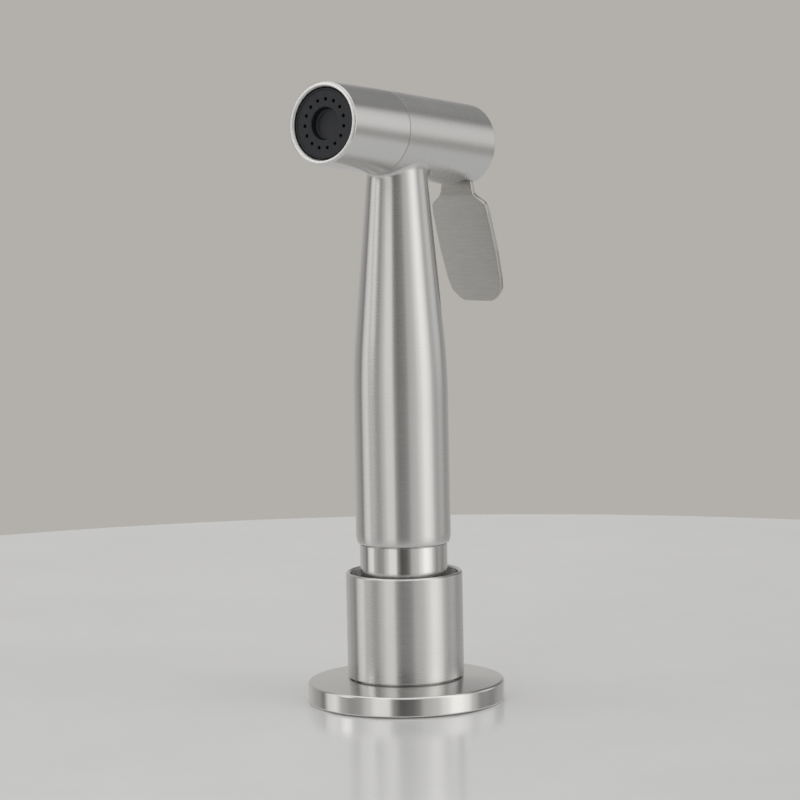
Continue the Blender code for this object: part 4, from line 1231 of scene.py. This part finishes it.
def room():
    """Soft studio light from room, ceiling, counter and lamps, and a plain backdrop for the camera."""
    world = bpy.data.worlds.new("room")
    bpy.context.scene.world = world
    tree = Tree(world)
    point = tree.node("ShaderNodeTexCoord").outputs["Generated"]
    rotate = tree.node("ShaderNodeVectorRotate", rotation_type="Z_AXIS")
    rotate.inputs["Angle"].default_value = -atan2(CAMERA_PLACE.y, CAMERA_PLACE.x)
    tree.join(point, rotate, "Vector")
    direction = rotate.outputs[0]
    split = tree.node("ShaderNodeSeparateXYZ")
    tree.join(direction, split, "Vector")
    x, y, z = split.outputs
    share = tree.remap(tree.math("ARCTAN2", y, x), -pi, pi)
    ramp = tree.node("ShaderNodeValToRGB")
    ramp.color_ramp.interpolation = "EASE"
    stops = ramp.color_ramp.elements
    while len(stops) > 1:
        stops.remove(stops[-1])
    for i, (degree, grey) in enumerate(ROOM):
        position = (degree + 180) / 360
        stop = stops[0] if i == 0 else stops.new(position)
        stop.position = position
        stop.color = (*(grey * part for part in WARMTH), 1)
    tree.join(share, ramp, "Fac")
    colour = ramp.outputs["Color"]
    for height, (start, end, grey) in ((tree.math("MULTIPLY", z, -1.0), COUNTER), (z, CEILING)):
        colour = tree.mix(tree.step(height, start, end), colour, (grey,) * 3)
    for degree, rise, reach, grey in LAMPS:
        level = cos(radians(rise))
        near = tree.node("ShaderNodeVectorMath", operation="DOT_PRODUCT")
        axis = (level * cos(radians(degree)), level * sin(radians(degree)), sin(radians(rise)))
        near.inputs[1].default_value = axis
        tree.links.new(direction, near.inputs[0])
        # brightest within a third of its reach
        lamp = tree.step(near.outputs["Value"], cos(radians(reach)), cos(radians(reach / 3)))
        colour = tree.mix(lamp, colour, (grey,) * 3)
    to_camera = tree.node("ShaderNodeLightPath").outputs["Is Camera Ray"]
    tree.join(tree.mix(to_camera, colour, BACKDROP), tree.shader, "Color")


def floor():
    """A plain pale round top under the object, as thick as the deck that the holder clamps."""
    made = turned("deck_top", bar(FLOOR_RADIUS, size_of("rubber_washer").high, 0, 2 * MM), closed=False)
    tree = Tree(bpy.data.materials.new("pale_top"))
    cloud = tree.noise(tree.object_point(), 14.0)
    tree.join(tree.mix(tree.spread(cloud, 0.0, 1.0), (0.79,) * 3, (0.83,) * 3), tree.shader, "Base Color")
    tree.shader.inputs["Roughness"].default_value = 0.16
    made.data.materials.append(tree.owner)
    made.visible_glossy = False


# ------------ assembly
bpy.context.scene.view_settings.view_transform = "Standard"
for build in (
    camera, room, floor, flange, holder_cup, threaded_shank, lock_nut, guide_bush, handle_tube,
    bottom_sleeve, hose_nipple, head_shell, rear_plug, nozzle_cap, spray_face, valve_body, seat_insert,
    valve_stem, stem_nut, lever_pin, valve_spring, trigger_lever,
):
    build()
drilled_disc("inlet_filter", UPRIGHT, 8, 5.0 * MM, 1.3 * MM, "filter_disc")
drilled_disc("jet_plate", HEAD, 10, 6.5 * MM, 1.0 * MM, "jet_disc")
for node in ("deck_gasket", "retaining_ring", "rubber_washer", "steel_washer"):
    plain_ring(node)
for node in ("face_seal", "spacer_ring", "gland_nut", "valve_washer", "washer_nut"):
    plain_ring(node, HEAD, MEDIUM)
for node in ("flange_o_ring", "sleeve_o_ring", "nipple_o_ring"):
    seal_ring(node)
for node in ("body_o_ring_rear", "body_o_ring_front", "cap_o_ring", "seat_o_ring", "stem_o_ring"):
    seal_ring(node, HEAD, MEDIUM)
